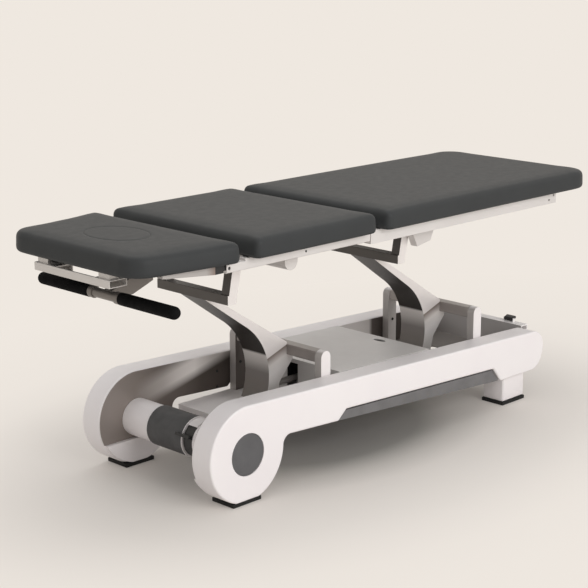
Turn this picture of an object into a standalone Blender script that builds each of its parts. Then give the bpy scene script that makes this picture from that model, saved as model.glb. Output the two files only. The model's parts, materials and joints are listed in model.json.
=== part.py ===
"""Height-adjustable treatment table with a three-section padded top and two swan-neck lift arms.

Metres, +Z up. The head end points to -X, the near side to -Y, and the origin is on the floor
under the middle of the table. Every piece is modelled in place in world coordinates, and what
moves is parented to an empty on its joint axis.
"""
import math

import bmesh
import bpy
from mathutils import Matrix, Vector

# Clearances
SEAT = 0.0003            # gap left between two touching faces
RUN = 0.0006             # running gap of a pin in its bore
SLIP = 0.0015            # gap beside a piece that swings

# Padded top
PAD_BOTTOM = 0.7140
PAD_THICK = 0.0590
PAD_HALF_WIDTH = 0.3100
PAD_EDGE_ROLL = 0.0240
PAD_CORNER = 0.0300
HEAD_FRONT, HEAD_REAR = -0.9970, -0.6550
HEAD_NOSE_HALF = 0.2560
HEAD_NOSE_CORNER = 0.0900
SEAT_FRONT, SEAT_REAR = -0.5970, -0.1010
LEG_FRONT, LEG_REAR = -0.0600, 0.9970
LEG_REAR_CORNER = 0.0800
FACE_HOLE_X = -0.8300
FACE_HOLE_AXES = (0.0800, 0.1070)
FACE_HOLE_LEDGE = 0.0140
PAD_BOARD = 0.0120

# Lift arms
ARM_PITCH = 0.7344
LOWER_PIVOT = (-0.2045, 0.3315)
UPPER_PIVOT = (-0.5190, 0.6720)
REAR_SHAFT_X = UPPER_PIVOT[0] + ARM_PITCH
ARM_HALF = 0.0520
ARM_SHEET = 0.0040
ARM_BEND = ((-0.4000, 0.4390), (-0.3070, 0.3800), (-0.2730, 0.2690), (-0.3180, 0.1800))
ARM_HEEL = ((-0.2680, 0.1760), (-0.2520, 0.2350), (-0.1960, 0.2970))
ARM_EDGE_SLOPE = -0.6300
ARM_EDGE_REF = (-0.4640, 0.5080)
PIVOT_BAR = 0.0340
PIVOT_BAR_HALF = 0.1720
JOURNAL_RADIUS = 0.0090
YOKE_HALF = 0.1530
YOKE_FRONT, YOKE_DEPTH = -0.5600, 0.0340
YOKE_BOTTOM, YOKE_TOP = 0.5410, 0.5770
EAR_INNER, EAR_OUTER = 0.1200, 0.1500
EAR_WIDTH = 0.0340
UPPER_SHAFT_RADIUS = 0.0080
POST_INNER, POST_OUTER = 0.1730, 0.2005
POST_HALF = 0.0205

# Top frame
RAIL_OUTER = 0.2735
RAIL_WIDTH = 0.0280
RAIL_BOTTOM = 0.6830
RAIL_FRONT, RAIL_REAR = -0.6750, -0.0935
LEG_RAIL_BOTTOM = 0.6725
LEG_RAIL_FRONT, LEG_RAIL_REAR = -0.0900, 0.8480
RAIL_RELIEF = 0.0082
HEAD_HINGE = (-0.6650, 0.6950)
HINGE_CHEEK = 0.0030
HINGE_GAP = 0.0070
KNUCKLE_RADIUS, HINGE_PIN = 0.0085, 0.0040
LEG_HINGE = (-0.0350, 0.7000)
LEG_BAR_SHEET = 0.0070
LEG_LUG_RADIUS, LEG_JOURNAL = 0.0125, 0.0060
BEAM_INNER, BEAM_OUTER = 0.1580, 0.1880
BEAM_BOTTOM, BEAM_TOP = 0.6550, 0.6850
BEAM_FRONT, BEAM_REAR = -0.6000, REAR_SHAFT_X + 0.1246
FRONT_CROSS_X, FRONT_CROSS_BOTTOM = (-0.3660, -0.3130), 0.6220
REAR_CROSS_X = (REAR_SHAFT_X + 0.0466, REAR_SHAFT_X + 0.0946)
REAR_CROSS_BOTTOM = 0.6250
LUG_TOP_X = (REAR_SHAFT_X - 0.0154, REAR_SHAFT_X + 0.0996)
LUG_FOOT_X = (REAR_SHAFT_X + 0.0136, REAR_SHAFT_X + 0.0786)
LUG_BOTTOM, LUG_RISE = 0.6030, 0.0110

# Base
COVER_INNER, COVER_OUTER = 0.2045, 0.2834
PLATE_INNER = 0.2013
LOBE = (-0.6100, 0.1490)
LOBE_RADIUS = 0.1436
TOP_SLOPE = -0.0375
LOBE_FILLET = 0.0280
COVER_UNDER = 0.1690
CAP_RADIUS = 0.0620
CAP_DEPTH = 0.0050
PAD_HEIGHT = 0.0120
FRONT_PAD_X, FRONT_PAD_Y = (-0.6650, -0.5550), (0.1900, 0.2800)
REAR_PAD_X, REAR_PAD_Y = (0.6150, 0.7370), (0.1630, 0.2530)
REAR_FOOT_INSET = 0.0030
COVER_REAR_BOTTOM = 0.1070
COVER_REAR, COVER_REAR_ROUND = (0.7700, 0.8230), 0.0600
TRAY_TOP, TRAY_SHEET = 0.1500, 0.0040
TRAY_FRONT, TRAY_LIP = -0.4440, 0.0380
TRAY_REAR, REAR_WALL_TOP, REAR_WALL_DEPTH = 0.7750, 0.2400, 0.0370
PEDAL, PEDAL_Y = (TRAY_REAR + 0.0230, REAR_WALL_TOP + 0.0085), (-0.1500, -0.1150)
PEDAL_HUB, PEDAL_PIN, PEDAL_EAR = 0.0070, 0.0020, 0.0030
SLOT_X, SLOT_HALF = (-0.3200, -0.1200), 0.0620
CENTRE_X = (-0.1450, 0.2800)
CENTRE_SHEET, CENTRE_LIP = 0.0030, 0.0230
FINGER_HOLE, FINGER_HOLE_AXES = (0.2420, -0.0200), (0.0120, 0.0260)
TUBE_RADIUS = 0.0575
SLEEVE_RADIUS, SLEEVE_Y = 0.0605, (-0.0670, 0.1080)
HUB_RADIUS, HUB_BORE, HUB_Y = 0.0560, 0.0440, (-0.1100, -0.0705)
NOTCH = ((-0.2350, 0.1580), (-0.2000, 0.1880), (0.5190, 0.1570), (0.5600, COVER_REAR_BOTTOM))
BAR_GAP = 0.0050
BAR_Y = (0.2480, 0.2770)
BAR_PIN_LINE = ((-0.2450, 0.1730), (0.5620, 0.1370))
BAR_PIN_Y, BAR_PIN_RADIUS = 0.2600, 0.0030
PLATE_SOLE = 0.0860
FOOT_BLOCK_TOP, FOOT_WEB_TOP = 0.0420, 0.0850

# Lift actuator
FOOT_PIN = (-0.2800, 0.2100)
TAIL_PIN = (0.1800, 0.2150)
TAIL_PLAY = 0.0175
PIN_RADIUS = 0.0050
ROD_RADIUS, ROD_EYE, ROD_LENGTH = 0.0100, 0.0130, 0.2700
SPINDLE_RADIUS, SPINDLE_FRONT = 0.0180, -0.1000
MOTOR_RADIUS, MOTOR_Y, MOTOR_Z, MOTOR_X = 0.0300, 0.0640, 0.2050, (-0.1000, 0.0600)
GEARBOX_X, GEARBOX_Z = (0.0600, 0.1200), (0.1720, 0.2400)
GEARBOX_Y = (-0.0280, 0.0960)

# Head section and release handle
HEAD_BAR_Y = (0.2470, 0.2690)
HEAD_BAR_FRONT = -0.9000
HEAD_CROSS_X, HEAD_CROSS_Z = (-0.7520, -0.7280), (0.6860, 0.7040)
ACCESSORY_X, ACCESSORY_Z = (-0.9930, -0.9150), (0.6750, 0.6980)
ACCESSORY_HALF, ACCESSORY_WALL = 0.1630, 0.0030
STANDOFF_Y = (0.1100, 0.1550)
STANDOFF_X = (-0.9850, -0.9250)
KNOB = (-0.9730, 0.0890)
KNOB_RADIUS, KNOB_HEIGHT = 0.0145, 0.0120
HANDLE = (-0.8740, 0.6110)
HANDLE_PIVOT = (-0.7300, 0.6700)
HANDLE_EAR, HANDLE_EAR_REACH = 0.0110, 0.0300
HANDLE_TUBE, HANDLE_COLLAR, GRIP_RADIUS = 0.0140, 0.0175, 0.0180
GRIP_Y, COLLAR_Y = (0.0655, 0.3000), (0.0470, 0.0650)

# Gas springs
HEAD_SPRING_BASE, HEAD_SPRING_TIP = (-0.4600, 0.6400), (-0.7350, 0.6550)
LEG_SPRING_BASE, LEG_SPRING_TIP = (REAR_CROSS_X[0] - 0.0220, 0.6350), (0.0450, 0.6760)
SPRING_RADIUS, SPRING_ROD, TIP_PIN = 0.0090, 0.0040, 0.0030
HEAD_SPRING_Y, LEG_SPRING_Y = 0.0500, 0.0500
SPRING_PLAY = 0.0120
HOOK_Y, HOOK_SHEET = SPRING_RADIUS + 0.0005, 0.0040
SPRING_BARREL, ROD_INSIDE = 0.5500, 0.4500
EYE_NECK, EYE_BLIND = 0.8000, 2.5000


def clear_scene():
    for item in list(bpy.data.objects):
        bpy.data.objects.remove(item)


def srgb(code):
    """Linear colour of an sRGB hex code."""
    channels = [int(code[i:i + 2], 16) / 255 for i in (1, 3, 5)]
    linear = [c / 12.92 if c <= 0.04045 else ((c + 0.055) / 1.055) ** 2.4 for c in channels]
    return (*linear, 1.0)


def finish(name, code, roughness, metallic=0.0):
    material = bpy.data.materials.new(name)
    material.use_nodes = True
    shader = material.node_tree.nodes["Principled BSDF"]
    shader.inputs["Base Color"].default_value = srgb(code)
    shader.inputs["Roughness"].default_value = roughness
    shader.inputs["Metallic"].default_value = metallic
    return material


def add_object(name, mesh_data, material):
    bmesh.ops.recalc_face_normals(mesh_data, faces=mesh_data.faces)
    mesh = bpy.data.meshes.new(name)
    mesh_data.to_mesh(mesh)
    mesh_data.free()
    mesh.shade_smooth()
    mesh.set_sharp_from_angle(angle=math.radians(35))
    if material:
        mesh.materials.append(material)
    piece = bpy.data.objects.new(name, mesh)
    bpy.context.scene.collection.objects.link(piece)
    return piece


def prism(name, outline, axis, low, high, material=None):
    """Extrude a closed outline along X, Y or Z between two levels.

    The outline holds (x, z) pairs for axis Y, (x, y) for Z and (y, z) for X."""
    place = {"X": lambda u, v, w: (w, u, v), "Y": lambda u, v, w: (u, w, v),
             "Z": lambda u, v, w: (u, v, w)}[axis]
    bm = bmesh.new()
    face = bm.faces.new([bm.verts.new(place(u, v, low)) for u, v in outline])
    moved = bmesh.ops.extrude_face_region(bm, geom=[face])["geom"]
    step = Vector(place(0, 0, high - low))
    bmesh.ops.translate(bm, vec=step, verts=[g for g in moved if isinstance(g, bmesh.types.BMVert)])
    return add_object(name, bm, material)


def box(name, x, y, z, material=None):
    return prism(name, [(x[0], y[0]), (x[1], y[0]), (x[1], y[1]), (x[0], y[1])], "Z", *z, material)


def turned(name, profile, centre, direction, material=None, steps=32):
    """Revolve (along, radius) points about a line through centre; the profile is a closed ring
    or starts and ends on the axis."""
    bm = bmesh.new()
    turn = Vector(direction).to_track_quat("Z", "Y").to_matrix().to_4x4()
    frame = Matrix.Translation(centre) @ turn
    rings = []
    for along, radius in profile:
        if radius < 1e-6:
            rings.append([bm.verts.new(frame @ Vector((0, 0, along)))])
            continue
        angles = [2 * math.pi * i / steps for i in range(steps)]
        rings.append([bm.verts.new(frame @ Vector((radius * math.cos(a), radius * math.sin(a), along)))
                      for a in angles])
    closed = profile[0][1] > 1e-6
    pairs = list(zip(rings, rings[1:] + rings[:1])) if closed else list(zip(rings, rings[1:]))
    for first, second in pairs:
        for i in range(steps):
            j = (i + 1) % steps
            corners = [first[i % len(first)], first[j % len(first)],
                       second[j % len(second)], second[i % len(second)]]
            bm.faces.new(list(dict.fromkeys(corners)))
    return add_object(name, bm, material)


def rod(name, start, end, radius, material=None, steps=24):
    """Round bar between two points."""
    start, end = Vector(start), Vector(end)
    length = (end - start).length
    return turned(name, [(0, 0), (0, radius), (length, radius), (length, 0)], start, end - start,
                  material, steps)


def cross_rod(name, place, y, radius, material=None, steps=24):
    """Round bar along Y at an (x, z) place."""
    return rod(name, (place[0], y[0], place[1]), (place[0], y[1], place[1]), radius, material, steps)


def combine(piece, tool, operation):
    """Cut, join or intersect with a helper object that stays hidden."""
    modifier = piece.modifiers.new(operation.lower() + "_" + tool.name, "BOOLEAN")
    modifier.operation = operation
    modifier.object = tool
    modifier.solver = "EXACT"
    tool.hide_render = True
    tool.display_type = "WIRE"
    return piece


def cut(piece, *tools):
    for tool in tools:
        combine(piece, tool, "DIFFERENCE")
    return piece


def join(piece, *tools):
    for tool in tools:
        combine(piece, tool, "UNION")
    return piece


def round_edges(piece, width, segments=2, angle=50):
    bevel = piece.modifiers.new("rounded_edges", "BEVEL")
    bevel.width = width
    bevel.segments = segments
    bevel.limit_method = "ANGLE"
    bevel.angle_limit = math.radians(angle)
    return piece


def arc(centre, radius, start, end, steps):
    """Points on an arc from start to end, in degrees, both included."""
    angles = [math.radians(start + (end - start) * i / steps) for i in range(steps + 1)]
    return [(centre[0] + radius * math.cos(a), centre[1] + radius * math.sin(a)) for a in angles]


def bezier(points, steps, start=0.0):
    """Points on a cubic curve from its four control points."""
    places = []
    for i in range(steps + 1):
        t = start + (1 - start) * i / steps
        weights = ((1 - t) ** 3, 3 * t * (1 - t) ** 2, 3 * t * t * (1 - t), t ** 3)
        places.append(tuple(sum(w * p[k] for w, p in zip(weights, points)) for k in (0, 1)))
    return places


def rounded(corners, steps=5):
    """Outline through (u, v, radius) corners, each turned by an arc of its radius."""
    outline = []
    for i, (u, v, radius) in enumerate(corners):
        here = Vector((u, v))
        back = (Vector(corners[i - 1][:2]) - here).normalized()
        ahead = (Vector(corners[(i + 1) % len(corners)][:2]) - here).normalized()
        if radius <= 0:
            outline.append((u, v))
            continue
        half = back.angle(ahead) / 2
        centre = here + (back + ahead).normalized() * (radius / math.sin(half))
        first = here + back * (radius / math.tan(half)) - centre
        last = here + ahead * (radius / math.tan(half)) - centre
        turn = math.atan2(first.x * last.y - first.y * last.x, first.dot(last))
        for k in range(steps + 1):
            spoke = Matrix.Rotation(turn * k / steps, 2) @ first
            outline.append((centre.x + spoke.x, centre.y + spoke.y))
    return outline


def ellipse(centre, axes, steps):
    angles = [2 * math.pi * i / steps for i in range(steps)]
    return [(centre[0] + axes[0] * math.cos(a), centre[1] + axes[1] * math.sin(a)) for a in angles]


def folded(points, thickness):
    """Outline of a folded sheet: the line through its outer face, thickened to the left."""
    inner = []
    for i, point in enumerate(points):
        here = Vector(point)
        sides = []
        if i > 0:
            sides.append((here - Vector(points[i - 1])).normalized())
        if i < len(points) - 1:
            sides.append((Vector(points[i + 1]) - here).normalized())
        normals = [Vector((-s.y, s.x)) for s in sides]
        mean = sum(normals, Vector((0, 0))).normalized()
        inner.append(here + mean * (thickness / mean.dot(normals[0])))
    return [tuple(p) for p in points] + [tuple(p) for p in reversed(inner)]


def inner_offset(line, gap):
    """Outline of a bar that fills a notch: its line moved in by a gap, and closed straight below."""
    moved = folded(line, -gap)[len(line):]
    first, last = moved[-1], moved[0]
    return [(first[0] + gap * 0.5, first[1] + gap * 0.5), *reversed(moved[1:-1]),
            (last[0] - gap * 0.5, last[1] + gap * 0.9)]


def pivot(name, place, y=0.0):
    """Empty on a joint axis, given as (x, z), that carries the pieces of one moving body."""
    empty = bpy.data.objects.new(name, None)
    empty.location = (place[0], y, place[1])
    empty.empty_display_size = 0.05
    bpy.context.scene.collection.objects.link(empty)
    return empty


def hang(carrier, *pieces):
    """Parent pieces that are modelled in place to their pivot without moving them."""
    bpy.context.view_layer.update()
    for piece in pieces:
        piece.parent = carrier
        piece.matrix_parent_inverse = carrier.matrix_world.inverted()


def sides():
    return (("near", -1), ("far", 1))


def span(side, inner, outer):
    """Low and high Y of a piece that lies between two distances from the middle."""
    return (-outer, -inner) if side < 0 else (inner, outer)


def top_line(x):
    """Height of the sloping top edge of the side covers."""
    normal = math.hypot(TOP_SLOPE, 1)
    touch = (LOBE[0] - LOBE_RADIUS * TOP_SLOPE / normal, LOBE[1] + LOBE_RADIUS / normal)
    return touch[1] + TOP_SLOPE * (x - touch[0])


def cover_outline(shrink=0.0, sole=PAD_HEIGHT + SEAT):
    """Side view of a side cover: front lobe, fillet, raised lower edge and blunt rear end."""
    radius = LOBE_RADIUS - shrink
    dip = math.degrees(math.asin((LOBE[1] - sole) / radius))
    reach = radius + LOBE_FILLET
    drop = COVER_UNDER + shrink - LOBE_FILLET - LOBE[1]
    fillet = (LOBE[0] + math.sqrt(reach ** 2 - drop ** 2), LOBE[1] + drop)
    meet = math.degrees(math.asin(drop / reach))
    start = 90 + math.degrees(math.atan(TOP_SLOPE))
    outline = arc(LOBE, radius, start, 180 + dip, 20)
    outline += arc(LOBE, radius, 360 - dip, 360 + meet, 8)
    outline += arc(fillet, LOBE_FILLET, 180 + meet, 90, 5)[1:]
    rear, nose = COVER_REAR
    corners = [(NOTCH[0][0], NOTCH[0][1] + shrink, 0.0), (NOTCH[1][0], NOTCH[1][1] + shrink, 0.0),
               (NOTCH[2][0] + shrink, NOTCH[2][1] + shrink, 0.0),
               (NOTCH[3][0] + shrink, NOTCH[3][1] + shrink, 0.0),
               (rear - shrink, COVER_REAR_BOTTOM + shrink, COVER_REAR_ROUND),
               (nose - shrink, top_line(nose) - shrink, COVER_REAR_ROUND)]
    shape = [outline[-1] + (0.0,)] + corners + [outline[0] + (0.0,)]
    outline += rounded(shape)[1:-1]
    return outline


def cushion(name, outline, material):
    """Pad with a rolled top edge: a plan outline carried up and drawn in over the roll."""
    steps = 4
    bm = bmesh.new()
    centre = Vector((sum(p[0] for p in outline) / len(outline), 0))
    levels = [(0.0, 0.004), (0.006, 0.0)]
    for i in range(steps + 1):
        a = math.pi / 2 * i / steps
        levels.append((PAD_THICK - PAD_EDGE_ROLL * (1 - math.sin(a)),
                       PAD_EDGE_ROLL * 0.75 * (1 - math.cos(a))))
    rings = []
    for height, inset in levels:
        ring = []
        for x, y in outline:
            spoke = Vector((x - centre.x, y))
            size = Vector((max(abs(p[0] - centre.x) for p in outline), PAD_HALF_WIDTH))
            scale = Vector((1 - inset / size.x, 1 - inset / size.y))
            ring.append(bm.verts.new((centre.x + spoke.x * scale.x, spoke.y * scale.y,
                                      PAD_BOTTOM + height)))
        rings.append(ring)
    for first, second in zip(rings, rings[1:]):
        for i in range(len(outline)):
            j = (i + 1) % len(outline)
            bm.faces.new((first[i], first[j], second[j], second[i]))
    bm.faces.new(list(reversed(rings[0])))
    bm.faces.new(rings[-1])
    return add_object(name, bm, material)


def build_pads(vinyl):
    w = PAD_HALF_WIDTH
    head = cushion("head_cushion", rounded([
        (HEAD_FRONT, HEAD_NOSE_HALF, HEAD_NOSE_CORNER), (HEAD_FRONT, -HEAD_NOSE_HALF, HEAD_NOSE_CORNER),
        (HEAD_REAR, -w, PAD_CORNER), (HEAD_REAR, w, PAD_CORNER)]), vinyl)
    hole = ellipse((FACE_HOLE_X, 0), FACE_HOLE_AXES, 32)
    inner_axes = [a - FACE_HOLE_LEDGE for a in FACE_HOLE_AXES]
    ledge = PAD_BOTTOM + PAD_BOARD
    cut(head, prism("face_hole_cutter", hole, "Z", ledge, PAD_BOTTOM + 2 * PAD_THICK),
        prism("board_hole_cutter", ellipse((FACE_HOLE_X, 0), inner_axes, 32), "Z",
              PAD_BOTTOM - PAD_THICK, PAD_BOTTOM + PAD_THICK / 2))
    plug_axes = [a - 2 * SEAT for a in FACE_HOLE_AXES]
    plug = prism("face_plug", ellipse((FACE_HOLE_X, 0), plug_axes, 32), "Z", ledge + SEAT,
                 PAD_BOTTOM + PAD_THICK, vinyl)
    seat = cushion("seat_cushion", rounded([
        (SEAT_FRONT, w, PAD_CORNER), (SEAT_FRONT, -w, PAD_CORNER),
        (SEAT_REAR, -w, PAD_CORNER), (SEAT_REAR, w, PAD_CORNER)]), vinyl)
    leg = cushion("leg_cushion", rounded([
        (LEG_FRONT, w, PAD_CORNER), (LEG_FRONT, -w, PAD_CORNER),
        (LEG_REAR, -w, LEG_REAR_CORNER), (LEG_REAR, w, LEG_REAR_CORNER)]), vinyl)
    return head, plug, seat, leg


def build_side_cover(name, side, white):
    inner, outer = span(side, COVER_INNER, COVER_OUTER)
    cover = prism("side_cover_" + name, cover_outline(), "Y", inner, outer, white)
    round_edges(cover, 0.005)
    face = side * COVER_OUTER
    recess = cross_rod("cap_recess_" + name, LOBE, sorted((face - side * CAP_DEPTH, face + side * 0.02)),
                       CAP_RADIUS + SEAT * 2, steps=48)
    cut(cover, recess)
    start, end = BAR_PIN_LINE
    y = side * BAR_PIN_Y
    cut(cover, rod("bar_bores_" + name, (start[0], y, start[1]), (end[0], y, end[1]),
                   BAR_PIN_RADIUS + RUN, steps=12))
    inset = FRONT_PAD_Y[0] + 0.0005
    radius = LOBE_RADIUS - 0.0020
    dip = math.degrees(math.asin((LOBE[1] - PAD_HEIGHT - 0.0010) / radius))
    rise = math.degrees(math.asin((LOBE[1] - FOOT_WEB_TOP) / radius))
    web = arc(LOBE, radius, 180 + rise, 180 + dip, 7) + arc(LOBE, radius, 360 - dip, 360 - rise, 7)
    join(cover, box("foot_block_" + name, FRONT_PAD_X, span(side, inset + 0.0020, FRONT_PAD_Y[1] - 0.0020),
                    (PAD_HEIGHT + SEAT, FOOT_BLOCK_TOP)),
         prism("foot_web_" + name, web, "Y", *span(side, inset, COVER_INNER + 0.0040)))
    return cover


def build_base(white, cover_grey, steel, rubber, dark):
    for name, side in sides():
        build_side_cover(name, side, white)
        plate_outline = cover_outline(0.0020, PLATE_SOLE)
        prism("side_plate_" + name, plate_outline, "Y", *span(side, PLATE_INNER, COVER_INNER - SEAT), steel)
        face = COVER_OUTER - CAP_DEPTH + SEAT
        cap = cross_rod("lobe_cap_" + name, LOBE, span(side, face, COVER_OUTER - 0.0006), CAP_RADIUS,
                        cover_grey, steps=48)
        round_edges(cap, 0.0012, 1)
        box("front_pad_" + name, FRONT_PAD_X, span(side, *FRONT_PAD_Y), (0, PAD_HEIGHT), rubber)
        box("rear_pad_" + name, REAR_PAD_X, span(side, *REAR_PAD_Y), (0, PAD_HEIGHT), rubber)
        build_rear_foot(name, side, white)
        for place, shift in (("front", 0.0), ("rear", ARM_PITCH)):
            build_post(place + "_post_" + name, side, shift, white)
    build_tray(white)
    build_centre_cover(white)
    build_cross_tube(white, dark)


def build_rear_foot(name, side, white):
    x = (REAR_PAD_X[0] + REAR_FOOT_INSET, REAR_PAD_X[1] - REAR_FOOT_INSET)
    y = span(side, REAR_PAD_Y[0] + REAR_FOOT_INSET, REAR_PAD_Y[1] - REAR_FOOT_INSET)
    foot = box("rear_foot_" + name, x, y, (PAD_HEIGHT + SEAT, COVER_REAR_BOTTOM - SEAT), white)
    round_edges(foot, 0.004)


def build_post(name, side, shift, white):
    x, z = LOWER_PIVOT[0] + shift, LOWER_PIVOT[1]
    foot = TRAY_TOP + SEAT
    outline = [(x - POST_HALF, foot), (x + POST_HALF, foot)] + arc((x, z), POST_HALF, 0, 180, 10)
    post = prism(name, outline, "Y", *span(side, POST_INNER, POST_OUTER), white)
    bore = cross_rod(name + "_bore", (x, z), span(side, POST_INNER - 0.01, POST_OUTER - 0.004),
                     JOURNAL_RADIUS + RUN)
    cut(post, bore)


def build_tray(white):
    rear = TRAY_REAR + REAR_WALL_DEPTH
    line = [(TRAY_FRONT, TRAY_TOP - TRAY_LIP), (TRAY_FRONT, TRAY_TOP), (TRAY_REAR, TRAY_TOP),
            (TRAY_REAR, REAR_WALL_TOP), (rear, REAR_WALL_TOP), (rear, COVER_REAR_BOTTOM)]
    width = PLATE_INNER - SEAT
    tray = prism("base_tray", folded(line, -TRAY_SHEET), "Y", -width, width, white)
    for place, shift in (("front", 0.0), ("rear", ARM_PITCH)):
        low, high = SLOT_X[0] + shift, SLOT_X[1] + shift
        corners = [(low, -SLOT_HALF, 0.012), (high, -SLOT_HALF, 0.012),
                   (high, SLOT_HALF, 0.012), (low, SLOT_HALF, 0.012)]
        cut(tray, prism(place + "_slot_cutter", rounded(corners, 3), "Z", TRAY_TOP - 0.02, TRAY_TOP + 0.02))
    x, z = PEDAL
    low, high = PEDAL_Y
    for name, start in (("near", low - SEAT - PEDAL_EAR), ("far", high + SEAT)):
        join(tray, box("pedal_ear_" + name, (x - 0.0045, x + 0.0045), (start, start + PEDAL_EAR),
                       (REAR_WALL_TOP - 0.002, z + 0.0045)))
    join(tray, cross_rod("pedal_pin", PEDAL, (low - 0.0015, high + 0.0015), PEDAL_PIN, steps=12))


def build_centre_cover(white):
    front, rear = CENTRE_X
    line = [(front, top_line(front) - CENTRE_LIP), (front, top_line(front)), (rear, top_line(rear)),
            (rear, TRAY_TOP + SEAT)]
    width = PLATE_INNER - SEAT
    cover = prism("centre_cover", folded(line, -CENTRE_SHEET), "Y", -width, width, white)
    notch = [(-ROD_RADIUS * 2.4, 0.15), (ROD_RADIUS * 2.4, 0.15), (ROD_RADIUS * 2.4, 0.2620),
             (-ROD_RADIUS * 2.4, 0.2620)]
    cut(cover, prism("rod_notch_cutter", notch, "X", front - 0.01, front + 0.01))
    level = top_line(FINGER_HOLE[0])
    cut(cover, prism("finger_hole_cutter", ellipse(FINGER_HOLE, FINGER_HOLE_AXES, 20), "Z",
                     level - CENTRE_LIP, level + CENTRE_LIP))


def build_cross_tube(white, dark):
    end = PLATE_INNER - SEAT
    low, high = HUB_Y[0] - SEAT, HUB_Y[1] + SEAT
    journal = HUB_BORE - RUN
    profile = [(-end, 0), (-end, TUBE_RADIUS), (low, TUBE_RADIUS), (low, journal), (high, journal),
               (high, TUBE_RADIUS + 0.0045), (SLEEVE_Y[0] - SEAT, TUBE_RADIUS + 0.0045),
               (SLEEVE_Y[0] - SEAT, TUBE_RADIUS), (end, TUBE_RADIUS), (end, 0)]
    centre = (LOBE[0], 0, LOBE[1])
    turned("cross_tube", profile, centre, (0, 1, 0), white, 40)
    bore = TUBE_RADIUS + SEAT
    ring = [(SLEEVE_Y[0], bore), (SLEEVE_Y[0], SLEEVE_RADIUS), (SLEEVE_Y[1], SLEEVE_RADIUS),
            (SLEEVE_Y[1], bore)]
    turned("tube_sleeve", ring, centre, (0, 1, 0), dark, 40)


def arm_shift(points, shift):
    return [(x + shift, z) for x, z in points]


def arm_outline():
    """Side view of a folded lift arm, with a notch at its heel for the lower pivot bar."""
    bar_front, bar_foot = LOWER_PIVOT[0] - PIVOT_BAR / 2, LOWER_PIVOT[1] - PIVOT_BAR / 2
    yoke_rear = YOKE_FRONT + YOKE_DEPTH

    def edge(x):
        return ARM_EDGE_REF[1] + ARM_EDGE_SLOPE * (x - ARM_EDGE_REF[0])

    outline = [(YOKE_FRONT + 0.002, YOKE_BOTTOM - SEAT)]
    outline += bezier(ARM_BEND, 14)
    outline += list(ARM_HEEL)
    outline += [(ARM_HEEL[-1][0], bar_foot), (bar_front, bar_foot), (bar_front, edge(bar_front))]
    outline += [(yoke_rear + SEAT, edge(yoke_rear)), (yoke_rear + SEAT, YOKE_BOTTOM - SEAT)]
    return outline


def arm_pocket():
    """Side view of the space between the two cheeks of an arm, open above and behind."""
    top = (YOKE_FRONT + 0.002, YOKE_BOTTOM - SEAT)
    line = [top] + bezier(ARM_BEND, 14)
    skin = folded(line, ARM_SHEET)[len(line):]
    skin = list(reversed(skin))
    tail = (skin[-1][0] - 0.02, skin[-1][1] - 0.03)
    return [(-0.62, 0.70), (skin[0][0] - 0.04, skin[0][1] + 0.0257)] + skin + [
        tail, (-0.10, 0.10), (-0.10, 0.70)]


def build_arm(place, shift, steel):
    blade = prism(place + "_arm_blade", arm_shift(arm_outline(), shift), "Y", -ARM_HALF, ARM_HALF, steel)
    inner = ARM_HALF - ARM_SHEET
    cut(blade, prism(place + "_arm_pocket", arm_shift(arm_pocket(), shift), "Y", -inner, inner))
    x, z = LOWER_PIVOT[0] + shift, LOWER_PIVOT[1]
    half = PIVOT_BAR / 2
    bar = box(place + "_pivot_bar", (x - half, x + half), (-PIVOT_BAR_HALF, PIVOT_BAR_HALF),
              (z - half, z + half))
    journal = cross_rod(place + "_journal", (x, z), (-POST_OUTER + 0.0045, POST_OUTER - 0.0045),
                        JOURNAL_RADIUS)
    join(blade, bar, journal)
    return blade, build_yoke(place, shift, steel)


def build_yoke(place, shift, steel):
    """Crossbar with two leaning ears, bored for the upper shaft."""
    front, rear = YOKE_FRONT + shift, YOKE_FRONT + YOKE_DEPTH + shift
    yoke = box(place + "_arm_yoke", (front, rear), (-YOKE_HALF, YOKE_HALF), (YOKE_BOTTOM, YOKE_TOP), steel)
    x, z = UPPER_PIVOT[0] + shift, UPPER_PIVOT[1]
    lean = math.degrees(math.atan2(x - (front + rear) / 2, z - YOKE_BOTTOM))
    half = EAR_WIDTH / 2
    for name, side in sides():
        cap = arc((x, z), half, -lean, 180 - lean, 10)
        foot = [(front + 0.001, YOKE_BOTTOM + 0.006), (rear - 0.001, YOKE_BOTTOM + 0.006)]
        ear = prism(place + "_ear_" + name, foot + cap, "Y", *span(side, EAR_INNER, EAR_OUTER))
        join(yoke, ear)
    cut(yoke, cross_rod(place + "_ear_bore", (x, z), (-0.2, 0.2), UPPER_SHAFT_RADIUS + RUN))
    return yoke


def build_top_frame(white, steel):
    pieces = []
    for name, side in sides():
        pieces += [build_side_rail(name, side, white), build_main_beam(name, side, white)]
    for place, shift in (("front", 0.0), ("rear", ARM_PITCH)):
        spot = (UPPER_PIVOT[0] + shift, UPPER_PIVOT[1])
        pieces.append(cross_rod(place + "_upper_shaft", spot, (-BEAM_OUTER, BEAM_OUTER),
                                UPPER_SHAFT_RADIUS, steel))
    return pieces + build_cross_members(white)


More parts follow.
